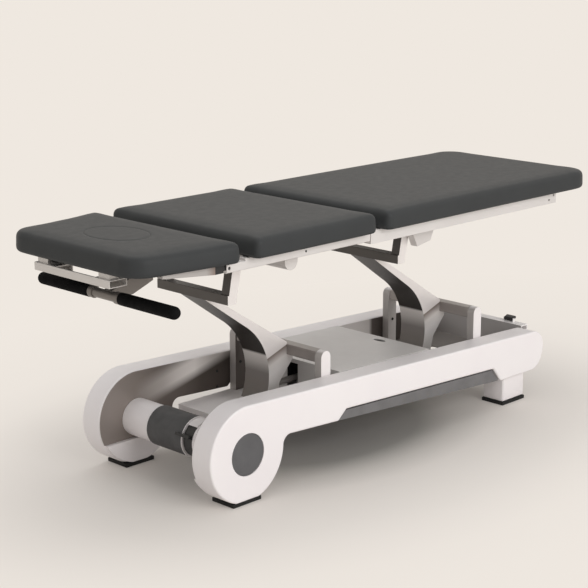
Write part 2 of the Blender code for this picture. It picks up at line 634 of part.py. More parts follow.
def build_side_rail(name, side, white):
    """Rail under the seat cushion, lower and forked at its front end for the head hinge."""
    top = PAD_BOTTOM - SEAT
    step = SEAT_FRONT - 0.0080
    shape = [(RAIL_FRONT, RAIL_BOTTOM), (RAIL_REAR, RAIL_BOTTOM), (RAIL_REAR, top), (step, top),
             (step, top - RAIL_RELIEF), (RAIL_FRONT, top - RAIL_RELIEF)]
    rail = prism("side_rail_" + name, shape, "Y", *span(side, RAIL_OUTER - RAIL_WIDTH, RAIL_OUTER), white)
    fork = span(side, RAIL_OUTER - RAIL_WIDTH + HINGE_CHEEK, RAIL_OUTER - HINGE_CHEEK)
    x, z = HEAD_HINGE
    cut(rail, box("rail_fork_" + name, (RAIL_FRONT - 0.01, x + KNUCKLE_RADIUS + SLIP), fork, (z - 0.1, z + 0.1)),
        cross_rod("rail_pin_bore_" + name, HEAD_HINGE, span(side, RAIL_OUTER - 0.05, RAIL_OUTER + 0.02),
                  HINGE_PIN + RUN, steps=16))
    return rail


def build_main_beam(name, side, white):
    """Inner beam with bores for the upper shafts, a raised lug with the leg journal, and a
    folded lug hanging under its rear end."""
    y = span(side, BEAM_INNER, BEAM_OUTER)
    beam = box("main_beam_" + name, (BEAM_FRONT, BEAM_REAR), y, (BEAM_BOTTOM, BEAM_TOP), white)
    x, z = LEG_HINGE
    r = LEG_LUG_RADIUS
    raised = [(x - r, BEAM_TOP - 0.010), (x + r, BEAM_TOP - 0.010)] + arc(LEG_HINGE, r, 0, 180, 8)
    join(beam, prism("leg_lug_" + name, raised, "Y", *span(side, BEAM_INNER + 0.010, BEAM_OUTER - 0.001)),
         cross_rod("leg_journal_" + name, LEG_HINGE, span(side, BEAM_INNER + 0.015, RAIL_OUTER - 0.006),
                   LEG_JOURNAL, steps=16))
    (a, b), (c, d) = LUG_TOP_X, LUG_FOOT_X
    hanging = [(c, LUG_BOTTOM), (d, LUG_BOTTOM + LUG_RISE), (b, BEAM_BOTTOM + 0.005), (a, BEAM_BOTTOM + 0.005)]
    join(beam, prism("hanging_lug_" + name, hanging, "Y", *span(side, BEAM_INNER + 0.002, BEAM_OUTER - 0.002)))
    for place, shift in (("front", 0.0), ("rear", ARM_PITCH)):
        cut(beam, cross_rod("beam_bore_%s_%s" % (place, name), (UPPER_PIVOT[0] + shift, UPPER_PIVOT[1]),
                            (-0.2, 0.2), UPPER_SHAFT_RADIUS + SEAT))
    return beam


def build_cross_members(white):
    """Front member with a rounded foot below the beams and a strap over them to the rails, and a
    rear member between the beams."""
    low, high = FRONT_CROSS_X
    radius = (high - low) / 2
    top = PAD_BOTTOM - SEAT
    foot = arc(((low + high) / 2, FRONT_CROSS_BOTTOM + radius), radius, 180, 360, 12)
    front = prism("front_cross_member", foot + [(high, top - 0.002), (low, top - 0.002)], "Y",
                  -BEAM_OUTER, BEAM_OUTER, white)
    for name, side in sides():
        cut(front, box("beam_notch_" + name, (low - 0.01, high + 0.01),
                       span(side, BEAM_INNER - SEAT, BEAM_OUTER + 0.01), (BEAM_BOTTOM - SEAT, BEAM_TOP + SEAT)))
    reach = RAIL_OUTER - RAIL_WIDTH - SEAT
    join(front, box("rail_strap", (low + 0.002, high - 0.002), (-reach, reach), (BEAM_TOP + 0.004, top)))
    base, y = HEAD_SPRING_BASE, HEAD_SPRING_Y
    hook_y = (y + HOOK_Y, y + HOOK_Y + HOOK_SHEET)
    hook = prism("head_spring_hook", [(base[0] - 0.006, base[1] - 0.006), (low + 0.004, base[1] - 0.006),
                                      (low + 0.004, base[1] + 0.010), (base[0] - 0.006, base[1] + 0.006)],
                 "Y", *hook_y)
    join(front, hook, cross_rod("head_spring_base_pin", base, (y - 0.0065, hook_y[1] - SLIP), SPRING_ROD, steps=16))

    low, high = REAR_CROSS_X
    reach = BEAM_INNER - SEAT
    rear = box("rear_cross_member", (low, high), (-reach, reach), (REAR_CROSS_BOTTOM, BEAM_TOP), white)
    base, y = LEG_SPRING_BASE, LEG_SPRING_Y
    hook_y = (y + HOOK_Y, y + HOOK_Y + HOOK_SHEET)
    hook = prism("leg_spring_hook", [(base[0] - 0.006, base[1] - 0.006), (low + 0.004, base[1] - 0.006),
                                     (low + 0.004, base[1] + 0.008), (base[0] - 0.006, base[1] + 0.006)],
                 "Y", *hook_y)
    join(rear, hook, cross_rod("leg_spring_base_pin", base, (y - 0.0065, hook_y[1] - SLIP), SPRING_ROD, steps=16))
    return [front, rear]


def build_head_hinge(name, side, dark):
    """Black hinge block behind the head bar, with a knuckle and pin in the forked rail end."""
    x, z = HEAD_HINGE
    rear = RAIL_FRONT - HINGE_GAP
    block = box("head_hinge_" + name, (rear - 0.030, rear), span(side, *HEAD_BAR_Y),
                (RAIL_BOTTOM + 0.001, PAD_BOTTOM - SEAT), dark)
    inner, outer = RAIL_OUTER - RAIL_WIDTH + HINGE_CHEEK, RAIL_OUTER - HINGE_CHEEK
    neck = box("hinge_neck_" + name, (rear - 0.005, x), span(side, inner + SLIP, outer - SLIP),
               (z - 0.0055, z + 0.0055))
    knuckle = cross_rod("hinge_knuckle_" + name, HEAD_HINGE, span(side, inner + SLIP, outer - SLIP),
                        KNUCKLE_RADIUS, steps=20)
    pin = cross_rod("hinge_pin_" + name, HEAD_HINGE, span(side, inner - 0.0025, outer + 0.0022),
                    HINGE_PIN, steps=16)
    join(block, neck, knuckle, pin)
    return block


def build_head_section(steel, grey, dark, silver):
    pieces = []
    top = PAD_BOTTOM - SEAT
    for name, side in sides():
        front, rear = HEAD_BAR_FRONT, RAIL_FRONT - HINGE_GAP - 0.0300 - SEAT
        shape = [(front, top - 0.010), (rear, RAIL_BOTTOM + 0.001), (rear, top), (front, top)]
        bar = prism("head_bar_" + name, shape, "Y", *span(side, *HEAD_BAR_Y), grey)
        pieces += [bar, build_head_hinge(name, side, dark)]
    pieces.append(build_accessory_rail(silver))
    pieces.append(build_head_cross(steel))
    knob = turned("rail_knob", [(0, 0), (0, KNOB_RADIUS - 0.002), (0.003, KNOB_RADIUS),
                                (KNOB_HEIGHT - 0.003, KNOB_RADIUS), (KNOB_HEIGHT, KNOB_RADIUS - 0.004),
                                (KNOB_HEIGHT, 0)],
                  (KNOB[0], KNOB[1], ACCESSORY_Z[1] + SEAT), (0, 0, 1), dark, 24)
    return pieces, knob


def build_accessory_rail(silver):
    """Flat rectangular tube across the head end, open at both ends, on two standoff blocks."""
    half, wall = ACCESSORY_HALF, ACCESSORY_WALL
    rail = box("accessory_rail", ACCESSORY_X, (-half, half), ACCESSORY_Z, silver)
    bore = box("accessory_bore", (ACCESSORY_X[0] + wall, ACCESSORY_X[1] - wall), (-half - 0.01, half + 0.01),
               (ACCESSORY_Z[0] + wall, ACCESSORY_Z[1] - wall))
    cut(rail, bore)
    for name, side in sides():
        join(rail, box("standoff_" + name, STANDOFF_X, span(side, *STANDOFF_Y),
                       (ACCESSORY_Z[1] - wall / 2, PAD_BOTTOM - SEAT)))
    return rail


def build_head_cross(steel):
    """Cross bar between the head bars, with the handle's ears and the gas spring's pin under it."""
    reach = HEAD_BAR_Y[0] - SEAT
    bar = box("head_cross_bar", HEAD_CROSS_X, (-reach, reach), HEAD_CROSS_Z, steel)
    px, pz = HANDLE_PIVOT
    for name, side in sides():
        ear = prism("handle_ear_" + name, [(px - HANDLE_EAR_REACH, HEAD_CROSS_Z[0] + 0.004),
                                           (px - HANDLE_EAR, pz - 0.010), (px + HANDLE_EAR, pz - 0.010),
                                           (px + HANDLE_EAR, HEAD_CROSS_Z[0] + 0.004)],
                    "Y", *span(side, 0.0165, 0.0205))
        join(bar, ear)
    join(bar, cross_rod("handle_pin", HANDLE_PIVOT, (-0.0200, 0.0200), PIN_RADIUS - 0.001, steps=16))
    sx, sz = HEAD_SPRING_TIP
    y = HEAD_SPRING_Y
    hook = box("spring_ear", (sx - 0.006, sx + 0.006), (y + 0.0070, y + 0.0110),
               (sz - 0.006, HEAD_CROSS_Z[0] + 0.004))
    join(bar, hook, cross_rod("spring_pin", HEAD_SPRING_TIP, (y - 0.0060, y + 0.0090), TIP_PIN, steps=12))
    return bar


def build_release_handle(grey, foam):
    """T-shaped lever: a tube with two collars on a flat stem, and a foam grip on each side."""
    x, z = HANDLE
    half = GRIP_Y[1] - 0.03
    inner, outer = COLLAR_Y
    wide = HANDLE_COLLAR
    profile = [(-half, 0), (-half, 0.0100), (-outer, 0.0100), (-outer, wide), (-inner, wide),
               (-inner, HANDLE_TUBE), (inner, HANDLE_TUBE), (inner, wide), (outer, wide),
               (outer, 0.0100), (half, 0.0100), (half, 0)]
    lever = turned("release_lever", profile, (x, 0, z), (0, 1, 0), grey, 24)
    px, pz = HANDLE_PIVOT
    stem = [(x, z + 0.0100), (x + 0.030, z - 0.0100), (x + 0.080, z - 0.0130), (px + 0.004, pz - 0.0110),
            (px + 0.0095, pz), (px + 0.004, pz + 0.0095), (px - 0.010, pz + 0.0075), (x + 0.050, z + 0.026)]
    join(lever, prism("lever_stem", stem, "Y", -0.0160, 0.0160))
    cut(lever, cross_rod("lever_bore", HANDLE_PIVOT, (-0.05, 0.05), PIN_RADIUS - 0.001 + RUN, steps=16))
    grips = []
    for name, side in sides():
        near, far = GRIP_Y
        bore, depth = 0.0103, far - 0.0295
        r = GRIP_RADIUS
        dome = [(far - r * (1 - math.sin(a)), r * math.cos(a)) for a in
                [math.pi / 2 * i / 5 for i in range(5)]]
        shape = [(near, bore), (near, r)] + dome + [(far, 0)]
        shape = [(depth, 0), (depth, bore)] + shape
        grips.append(turned("handle_grip_" + name, shape, (x, 0, z), (0, side, 0), foam, 24))
    return lever, grips


def build_gas_spring(name, base, tip, y, steel, dark):
    """Cylinder with an eye on its base pin, and a rod whose eye leaves play round the tip pin."""
    start, end = Vector((base[0], y, base[1])), Vector((tip[0], y, tip[1]))
    way = (end - start).normalized()
    length = (end - start).length
    eye = SPRING_RADIUS
    barrel = length * SPRING_BARREL
    r, bore = SPRING_RADIUS, SPRING_ROD + RUN
    neck, blind = eye * EYE_NECK, eye * EYE_BLIND
    profile = [(neck, 0), (neck, r), (barrel, r), (barrel, bore), (blind, bore), (blind, 0)]
    cylinder = turned(name + "_spring_cylinder", profile, start, way, dark, 20)
    join(cylinder, cross_rod(name + "_base_eye", base, (y - 0.0060, y + 0.0060), eye, steps=20))
    cut(cylinder, cross_rod(name + "_base_bore", base, (y - 0.02, y + 0.02), SPRING_ROD + SEAT, steps=16))
    ring = TIP_PIN + SPRING_PLAY
    stem = rod(name + "_spring_rod", start + way * (barrel * ROD_INSIDE), end - way * (ring + 0.001), SPRING_ROD, steel, 16)
    join(stem, cross_rod(name + "_tip_eye", tip, (y - 0.0050, y + 0.0050), ring + 0.003, steps=24))
    cut(stem, cross_rod(name + "_tip_bore", tip, (y - 0.02, y + 0.02), ring, steps=24))
    return cylinder, stem


def build_leg_section(white, steel):
    """Leg rails bored for the journals, and a cross bar with the hook of the gas spring's tip."""
    pieces = []
    top = PAD_BOTTOM - SEAT
    for name, side in sides():
        rail = box("leg_rail_" + name, (LEG_RAIL_FRONT, LEG_RAIL_REAR),
                   span(side, RAIL_OUTER - RAIL_WIDTH, RAIL_OUTER), (LEG_RAIL_BOTTOM, top), white)
        cut(rail, cross_rod("leg_bore_" + name, LEG_HINGE, span(side, BEAM_OUTER, RAIL_OUTER - 0.005),
                            LEG_JOURNAL + RUN, steps=20))
        pieces.append(rail)
    reach = RAIL_OUTER - RAIL_WIDTH - SEAT
    x, z = LEG_SPRING_TIP
    y = LEG_SPRING_Y
    foot = top - LEG_BAR_SHEET
    bar = box("leg_cross_bar", (x - 0.022, x + 0.022), (-reach, reach), (foot, top), steel)
    hook = box("leg_tip_ear", (x - 0.006, x + 0.006), (y + 0.0070, y + 0.0110), (z - 0.006, foot + 0.003))
    join(bar, hook, cross_rod("leg_tip_pin", LEG_SPRING_TIP, (y - 0.0060, y + 0.0090), TIP_PIN, steps=12))
    pieces.append(bar)
    return pieces


def build_actuator(steel, dark):
    """Push rod with a cross pin in the arm's heel, and a spindle tube with its motor beside it."""
    tip, tail = Vector((FOOT_PIN[0], 0, FOOT_PIN[1])), Vector((TAIL_PIN[0], 0, TAIL_PIN[1]))
    way = (tip - tail).normalized()
    inner = ARM_HALF - ARM_SHEET - SEAT
    push = rod("lift_rod", tip, tip - way * ROD_LENGTH, ROD_RADIUS, steel, 20)
    join(push, cross_rod("rod_eye", FOOT_PIN, (-0.0110, 0.0110), ROD_EYE, steps=24),
         cross_rod("rod_pin", FOOT_PIN, (-inner, inner), PIN_RADIUS, steps=16))
    front = (tail.x - SPINDLE_FRONT) / abs(way.x)
    eye = PIN_RADIUS + TAIL_PLAY + 0.004
    motor = rod("lift_motor", tail + way * (eye - 0.002), tail + way * front, SPINDLE_RADIUS, dark, 24)
    barrel = rod("motor_barrel", (MOTOR_X[0], MOTOR_Y, MOTOR_Z), (MOTOR_X[1] + 0.01, MOTOR_Y, MOTOR_Z),
                 MOTOR_RADIUS, steps=32)
    round_edges(barrel, 0.004, 2)
    (left, right), (low, high) = GEARBOX_Y, GEARBOX_Z
    gearbox = prism("gearbox", rounded([(left, low, 0.012), (right, low, 0.012), (right, high, 0.012),
                                        (left, high, 0.012)], 3), "X", *GEARBOX_X)
    join(motor, gearbox, barrel, cross_rod("tail_eye", TAIL_PIN, (-0.0100, 0.0100), eye, steps=30))
    cut(motor, cross_rod("tail_bore", TAIL_PIN, (-0.03, 0.03), eye - 0.004, steps=26),
        rod("spindle_bore", tail + way * 0.070, tail + way * (front + 0.01), ROD_RADIUS + RUN, steps=20))
    return push, motor


def build_tail_bracket(steel):
    """Bracket on the tray with two cheeks and the pin of the actuator's tail."""
    x, z = TAIL_PIN
    foot = TRAY_TOP + SEAT
    bracket = box("tail_bracket", (x - 0.030, x + 0.030), (-0.0200, 0.0200), (foot, foot + 0.004), steel)
    for name, side in sides():
        cheek = prism("tail_cheek_" + name, [(x - 0.028, foot), (x + 0.028, foot), (x + 0.010, z + 0.010),
                                             (x - 0.010, z + 0.010)], "Y", *span(side, 0.0140, 0.0180))
        join(bracket, cheek)
    join(bracket, cross_rod("tail_pin", TAIL_PIN, (-0.0160, 0.0160), PIN_RADIUS, steps=16))


def build_foot_controls(grey, dark):
    """Rocking bars under the covers, the black lever on the cross tube and the rear pedal."""
    bars = []
    for name, side in sides():
        shape = inner_offset(NOTCH, BAR_GAP)
        bar = prism("foot_bar_" + name, shape, "Y", *span(side, *BAR_Y), grey)
        start, end = BAR_PIN_LINE
        y = side * BAR_PIN_Y
        join(bar, rod("bar_pin_" + name, (start[0] + 0.006, y, start[1]), (end[0] - 0.006, y, end[1]),
                      BAR_PIN_RADIUS, steps=12))
        bars.append(bar)
    centre = (LOBE[0], 0, LOBE[1])
    hub = [(HUB_Y[0], HUB_BORE), (HUB_Y[0], HUB_RADIUS), (HUB_Y[1], HUB_RADIUS), (HUB_Y[1], HUB_BORE)]
    lever = turned("foot_lever", hub, centre, (0, 1, 0), dark, 32)
    x, z = LOBE[0] - 0.052, LOBE[1] + 0.036
    finger = prism("lever_finger", rounded([(x - 0.022, z - 0.006, 0.004), (x + 0.022, z - 0.006, 0.004),
                                            (x + 0.022, z + 0.006, 0.004), (x - 0.022, z + 0.006, 0.004)], 2),
                   "Y", HUB_Y[0] + 0.004, HUB_Y[1] - 0.006)
    join(lever, finger)
    x, z = PEDAL
    r = PEDAL_HUB
    tab = arc(PEDAL, r, 90, 300, 10) + [(x + 0.016, z + 0.004), (x + 0.015, z + 0.010), (x + 0.011, z + 0.011)]
    pedal = prism("rear_pedal", tab, "Y", *PEDAL_Y, dark)
    cut(pedal, cross_rod("pedal_bore", PEDAL, (PEDAL_Y[0] - 0.01, PEDAL_Y[1] + 0.01), PEDAL_PIN + RUN, steps=16))
    return bars, lever, pedal


def build_table():
    clear_scene()
    vinyl = finish("grey_vinyl", "#5c5c5c", 0.55)
    white = finish("white_paint", "#efe9e7", 0.40)
    cap_grey = finish("dark_grey_plastic", "#5f5f61", 0.50)
    satin = finish("satin_steel", "#a8a29e", 0.32, 1.0)
    dark = finish("black_plastic", "#1c1c1d", 0.45)
    rubber = finish("black_rubber", "#0d0d0d", 0.80)
    sleeve = finish("sleeve_rubber", "#4a4a4b", 0.70)
    foam = finish("black_foam", "#0b0b0c", 0.85)
    silver = finish("anodised_aluminium", "#aaa5a1", 0.35, 1.0)
    head_grey = finish("warm_grey_paint", "#7c7671", 0.45)

    head_pad, plug, seat_pad, leg_pad = build_pads(vinyl)
    build_base(white, cap_grey, satin, rubber, sleeve)
    build_tail_bracket(satin)

    front_blade, front_yoke = build_arm("front", 0.0, satin)
    rear_blade, rear_yoke = build_arm("rear", ARM_PITCH, satin)
    frame_pieces = build_top_frame(white, satin)
    head_pieces, knob = build_head_section(satin, head_grey, dark, silver)
    lever, grips = build_release_handle(head_grey, foam)
    head_cylinder, head_rod = build_gas_spring("head", HEAD_SPRING_BASE, HEAD_SPRING_TIP, HEAD_SPRING_Y,
                                               satin, dark)
    leg_cylinder, leg_rod = build_gas_spring("leg", LEG_SPRING_BASE, LEG_SPRING_TIP, LEG_SPRING_Y,
                                             satin, dark)
    leg_pieces = build_leg_section(white, satin)
    push, motor = build_actuator(satin, dark)
    bars, hook, pedal = build_foot_controls(cap_grey, dark)

    hang(pivot("front_arm_pivot", LOWER_PIVOT), front_blade, front_yoke)
    rear_place = (LOWER_PIVOT[0] + ARM_PITCH, LOWER_PIVOT[1])
    hang(pivot("rear_arm_pivot", rear_place), rear_blade, rear_yoke)
    hang(pivot("top_frame_pivot", UPPER_PIVOT), seat_pad, *frame_pieces)
    hang(pivot("head_pivot", HEAD_HINGE), head_pad, *head_pieces)
    hang(pivot("plug_slide", (FACE_HOLE_X, PAD_BOTTOM)), plug)
    hang(pivot("knob_axis", (KNOB[0], ACCESSORY_Z[1]), KNOB[1]), knob)
    hang(pivot("handle_pivot", HANDLE_PIVOT), lever, *grips)
    hang(pivot("leg_pivot", LEG_HINGE), leg_pad, *leg_pieces)
    hang(pivot("head_spring_pivot", HEAD_SPRING_BASE), head_cylinder)
    hang(pivot("head_rod_slide", HEAD_SPRING_BASE), head_rod)
    hang(pivot("leg_spring_pivot", LEG_SPRING_BASE), leg_cylinder)
    hang(pivot("leg_rod_slide", LEG_SPRING_BASE), leg_rod)
    hang(pivot("rod_pivot", FOOT_PIN), push)
    hang(pivot("motor_slide", TAIL_PIN), motor)
    start, end = BAR_PIN_LINE
    middle = ((start[0] + end[0]) / 2, (start[1] + end[1]) / 2)
    for bar, side in zip(bars, (-1, 1)):
        hang(pivot(bar.name + "_axis", middle, side * BAR_PIN_Y), bar)
    hang(pivot("foot_lever_pivot", LOBE), hook)
    hang(pivot("pedal_pivot", PEDAL, sum(PEDAL_Y) / 2), pedal)


build_table()
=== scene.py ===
"""Treatment table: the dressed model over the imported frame, with its camera, floor and light.

Metres, +Z up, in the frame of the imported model. The head end points to -X and the near side
to -Y. Pieces are modelled in place and ride on the body that carries them.
"""
import json
import math

import bpy
import numpy as np
from mathutils import Matrix, Vector


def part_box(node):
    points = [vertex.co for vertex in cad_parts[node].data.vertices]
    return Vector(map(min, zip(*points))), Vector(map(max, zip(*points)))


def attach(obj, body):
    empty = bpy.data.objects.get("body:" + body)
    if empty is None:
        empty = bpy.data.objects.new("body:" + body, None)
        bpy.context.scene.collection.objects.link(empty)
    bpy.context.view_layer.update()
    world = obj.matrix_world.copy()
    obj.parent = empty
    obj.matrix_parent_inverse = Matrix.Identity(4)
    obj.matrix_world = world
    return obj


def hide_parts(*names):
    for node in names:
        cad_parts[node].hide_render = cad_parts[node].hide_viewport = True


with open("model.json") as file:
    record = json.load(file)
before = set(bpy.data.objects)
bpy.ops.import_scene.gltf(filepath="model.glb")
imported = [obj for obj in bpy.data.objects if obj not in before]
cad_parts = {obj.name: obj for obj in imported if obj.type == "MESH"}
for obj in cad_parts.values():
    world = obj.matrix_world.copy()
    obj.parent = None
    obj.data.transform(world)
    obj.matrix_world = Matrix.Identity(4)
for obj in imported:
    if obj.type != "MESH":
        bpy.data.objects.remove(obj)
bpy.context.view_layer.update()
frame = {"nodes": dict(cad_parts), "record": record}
bpy.ops.object.select_all(action="DESELECT")

# Camera, as fitted to the photograph
CAMERA_PLACE = (-3.4877, -3.2937, 1.6609)
CAMERA_TARGET = (-0.1374, 0.0, 0.4812)
CAMERA_LENS, SENSOR = 95.8, 36.0

# Padded top
PAD_BOTTOM, PAD_TOP = 0.7140, 0.7730
PAD_ROLL, PAD_FOOT_ROLL = 0.0160, 0.0110
PAD_SLACK = 0.0015
PAD_SWELL = 0.0060
PAD_VOXEL = 0.0045
SWELL_FRAMES, SWELL_PRESSURE, SWELL_ROUNDS = 20, 4.0, 60
HEAD_OUTLINE = ((-1.0030, 0.2760, 0.0700), (-1.0030, -0.2720, 0.0760),
                (-0.6530, -0.3180, 0.0180), (-0.6530, 0.3180, 0.0180))
SEAT_OUTLINE = ((-0.6000, 0.3180, 0.0180), (-0.6000, -0.3180, 0.0220),
                (-0.1010, -0.3180, 0.0220), (-0.1010, 0.3180, 0.0180))
LEG_OUTLINE = ((-0.0600, 0.3180, 0.0180), (-0.0600, -0.3180, 0.0220),
               (0.9970, -0.3180, 0.0800), (0.9970, 0.3180, 0.0800))
PLUG_CENTRE, PLUG_AXES = (-0.8300, 0.0), (0.0800, 0.1070)
PLUG_GAP, PLUG_DIP = 0.0005, 0.0014
PLUG_FOOT, PLUG_FADE = 0.7265, 0.0035

# Base
LOBE, LOBE_RADIUS = (-0.6100, 0.1490), 0.1436
COVER_INNER, COVER_OUTER = 0.2045, 0.2834
PLATE_INNER = 0.2013
TOP_SLOPE = -0.0375
LOBE_FILLET, COVER_UNDER = 0.0280, 0.1690
NOTCH = ((-0.2350, 0.1580), (-0.2000, 0.1880), (0.5190, 0.1570), (0.5600, 0.1070))
COVER_REAR, COVER_REAR_ROUND = (0.7700, 0.8230), 0.0600
COVER_REAR_BOTTOM = 0.1070
SOLE, PLATE_SOLE = 0.0123, 0.0860
WEB_INNER, WEB_TOP = 0.1905, 0.0850
COVER_BORE, COVER_BORE_Y, COVER_BORE_RADIUS = ((-0.2450, 0.1730), (0.5620, 0.1370)), 0.2600, 0.0036
CENTRE_WALL = ((-0.1450, -0.1422), (0.0240, 0.2008), (0.1504, 0.2560))
CAP_RADIUS, CAP_DEPTH = 0.0620, 0.0050
TUBE_RADIUS, SLEEVE_RADIUS, SLEEVE_Y = 0.0575, 0.0605, (-0.0690, 0.0860)
HUB_Y, RING_RADII, RING_EDGE = (-0.1100, -0.0705), (0.0440, 0.0560), 0.0015
COLLAR_RADII, COLLAR_ARC = (0.0592, 0.0568), (-75, 126, 48)
FINGER_ANGLE, FINGER, FINGER_Y = 160, (0.0640, 0.0705, 0.0042), (-0.1060, -0.0480)
FINGER_ROOT, ROOT_Y = (0.0500, 0.0705, 0.0050), (-0.1060, -0.0765)
SLEEVE_STEPS, SEAM_EVERY, SEAM_DEPTH = 120, 30, 0.0006
BOLT_HEIGHT, BOLT_RADIUS = 0.2420, 0.0046
PLATE_SCREW_X, PLATE_SCREW_HEIGHTS, PLATE_SCREW_RADIUS = -0.2800, (0.2200, 0.1690), 0.0042

# Lift arms
ARM_PITCH = 0.7344
LOWER_PIVOT, UPPER_PIVOT = (-0.2045, 0.3315), (-0.5190, 0.6720)
ARM_HALF, ARM_SHEET = 0.0520, 0.0040
ARM_BEND = ((-0.4000, 0.4390), (-0.3070, 0.3800), (-0.2730, 0.2690), (-0.3180, 0.1800))
ARM_HEEL = ((-0.2680, 0.1760), (-0.2520, 0.2350), (-0.1960, 0.2970))
ARM_EDGE_SLOPE, ARM_EDGE_REF = -0.6300, (-0.4640, 0.5080)
PIVOT_BAR, PIVOT_BAR_HALF = 0.0340, 0.1720
YOKE_FRONT, YOKE_DEPTH, YOKE_BOTTOM, YOKE_TOP = -0.5600, 0.0340, 0.5490, 0.5770
YOKE_HALF, EAR_Y, EAR_WIDTH, EAR_BORE = 0.1530, (0.1200, 0.1530), 0.0340, 0.0086
JOURNAL_RADIUS, JOURNAL_HALF = 0.0090, 0.1960

# Head end
HANDLE = (-0.8740, 0.6110)
HANDLE_PIVOT = (-0.7300, 0.6700)
HANDLE_HALF, HANDLE_TUBE, HANDLE_CORE = 0.2700, 0.0100, 0.0140
HANDLE_COLLAR, HANDLE_COLLAR_Y, COLLAR_EDGE = 0.0175, (0.0470, 0.0650), 0.0010
STEM_HALF, STEM_BORE, STEM_KNEE = 0.0160, 0.0046, ((-0.7920, 0.6010), (-0.7434, 0.6190), (-0.7180, 0.6290))
GRIP_RADIUS, GRIP_BORE, GRIP_Y, GRIP_END = 0.0180, 0.0103, (0.0655, 0.3000), 0.0295
KNOB, KNOB_FOOT = (-0.9730, 0.0890), 0.6983
KNOB_PROFILE = ((0, 0), (0, 0.0115), (0.002, 0.0145), (0.0090, 0.0145), (0.0110, 0.0130),
                (0.0118, 0.0090), (0.0108, 0.0070), (0.0108, 0))
INSERT_PROFILE = ((0.0102, 0), (0.0102, 0.0066), (0.0112, 0.0066), (0.0112, 0))
RAIL_TOP, RAIL_DEPTH, RAIL_WALL, RAIL_WINDOW = 0.6980, 0.0620, 0.0030, (-0.1000, 0.0700)
STANDOFF_Y = (0.1100, 0.1550)

# Screws of the side rails
SEAT_SCREW, SEAT_SCREW_RADIUS = (-0.3670, 0.6960), 0.0032
LEG_SCREWS, LEG_SCREW_Y, LEG_SCREW_RADIUS = ((0.8070, 0.6860), (0.8320, 0.6995)), -0.2735, 0.0035

# Studio
BACKDROP = "#efe8e0"
FILL_COLOUR, FILL_STRENGTH = "#f4f2f0", 0.72
LIGHT_TARGET = (0.0, 0.0, 0.4)
KEY_PLACE, KEY_SIZE, KEY_POWER = (-0.3, -4.6, 2.2), (3.5, 2.0), 102
TOP_PLACE, TOP_SIZE, TOP_POWER = (0.3, 0.5, 3.6), (3.5, 2.5), 36
FLOOR_HALF, FLOOR_DEPTH = 30, 0.02
FLOOR_FADE = (3.1, 2.0)
# Floor colour by distance: darker towards the middle as painted shade under the table
FLOOR_SHADE_STOPS = ((0.0, "#888684"), (0.12, "#9b9995"), (0.17, "#c9c5c0"), (0.22, "#dcd7d2"), (1.0, "#dcd7d2"))
# Backdrop glow by distance: it starts close to the table, where it lightens the shadow as painted light
FADE_STOPS = ((0.13, "#000000"), (0.20, "#424242"), (0.225, "#565656"), (0.28, "#7c7c7c"), (0.33, "#969696"),
              (0.385, "#bcbcbc"), (0.46, "#e2e2e2"), (0.55, "#f3f3f3"), (0.85, "#ffffff"))

# Painted light and shade, as colour bands by place with (place, colour) stops. Each has a start, a normal and
# a span.
ORIGIN, ALONG, UPWARD = (0.0, 0.0), (1.0, 0.0), (0.0, 1.0)
# Line of the painted band of shade across the arm cheeks
CHEEK_SHADE_LINE_START, CHEEK_SHADE_LINE_NORMAL = (-0.3089, 0.3163), (-0.3303, 0.9439)
CHEEK_SHADE_LINE_SPAN = (-0.10, 0.10)
# Painted reflection of the arm web by height: dark above a light band
WEB_SPAN = (0.18, 0.58)
WEB_LIGHT_AND_SHADE_STOPS = ((0.0, "#6f6b67"), (0.12, "#807b77"), (0.22, "#8f8a87"), (0.30, "#cfcbc8"), (0.368, "#eae6e3"),
             (0.385, "#2b2723"), (0.60, "#2b2622"), (1.0, "#25201d"))
# Painted light and shade of the arm cheeks, dark along the line of shade
CHEEK_LIGHT_AND_SHADE_STOPS = ((0.0, "#c4c0bd"), (0.22, "#dedad8"), (0.36, "#dcd7d4"), (0.47, "#978c87"), (0.497, "#82776f"),
               (0.505, "#e3dddb"), (0.65, "#efeae8"), (1.0, "#ebe6e4"))
# Painted reflection: a broad slanting light streak on the inner plates
REFLECTION_STREAK_START, REFLECTION_STREAK_NORMAL = (-0.5158, 0.2051), (-0.2406, 0.9706)
REFLECTION_STREAK_SPAN = (-0.10, 0.10)
# Inner plates: painted shade and a painted light band along their length, and the fade of the painted
# reflection
PLATE_START, PLATE_SPAN = (-0.60, 0.0), (-0.12, 1.40)
REFLECTION_STREAK_FADE_START, REFLECTION_STREAK_FADE_SPAN = (-0.40, 0.0), (-0.22, 0.16)
BAR_START, BAR_SPAN = (-0.99, 0.0), (0.0, 0.34)
TRAY_SPAN = (0.0, 1.0)
# How the painted reflection fades along the plates, and its colours
REFLECTION_STREAK_FADE = ((0.0, "#000000"), (0.30, "#a0a0a0"), (0.65, "#ffffff"), (1.0, "#d0d0d0"))
REFLECTION_STREAK_STOPS = ((0.0, "#000000"), (0.38, "#000000"), (0.53, "#efebe8"), (0.68, "#f2eeeb"), (0.88, "#3a3836"),
                (1.0, "#1c1b1a"))
# Painted shade and a painted light band of the inner plates, along their length
PLATE_LIGHT_AND_SHADE_STOPS = ((0.0, "#958c87"), (0.066, "#8a817b"), (0.148, "#6b625d"), (0.247, "#4c443f"),
               (0.605, "#4b4541"), (0.638, "#c9c4c1"), (0.763, "#cfcac7"), (0.773, "#5d5652"),
               (0.836, "#4b4541"))
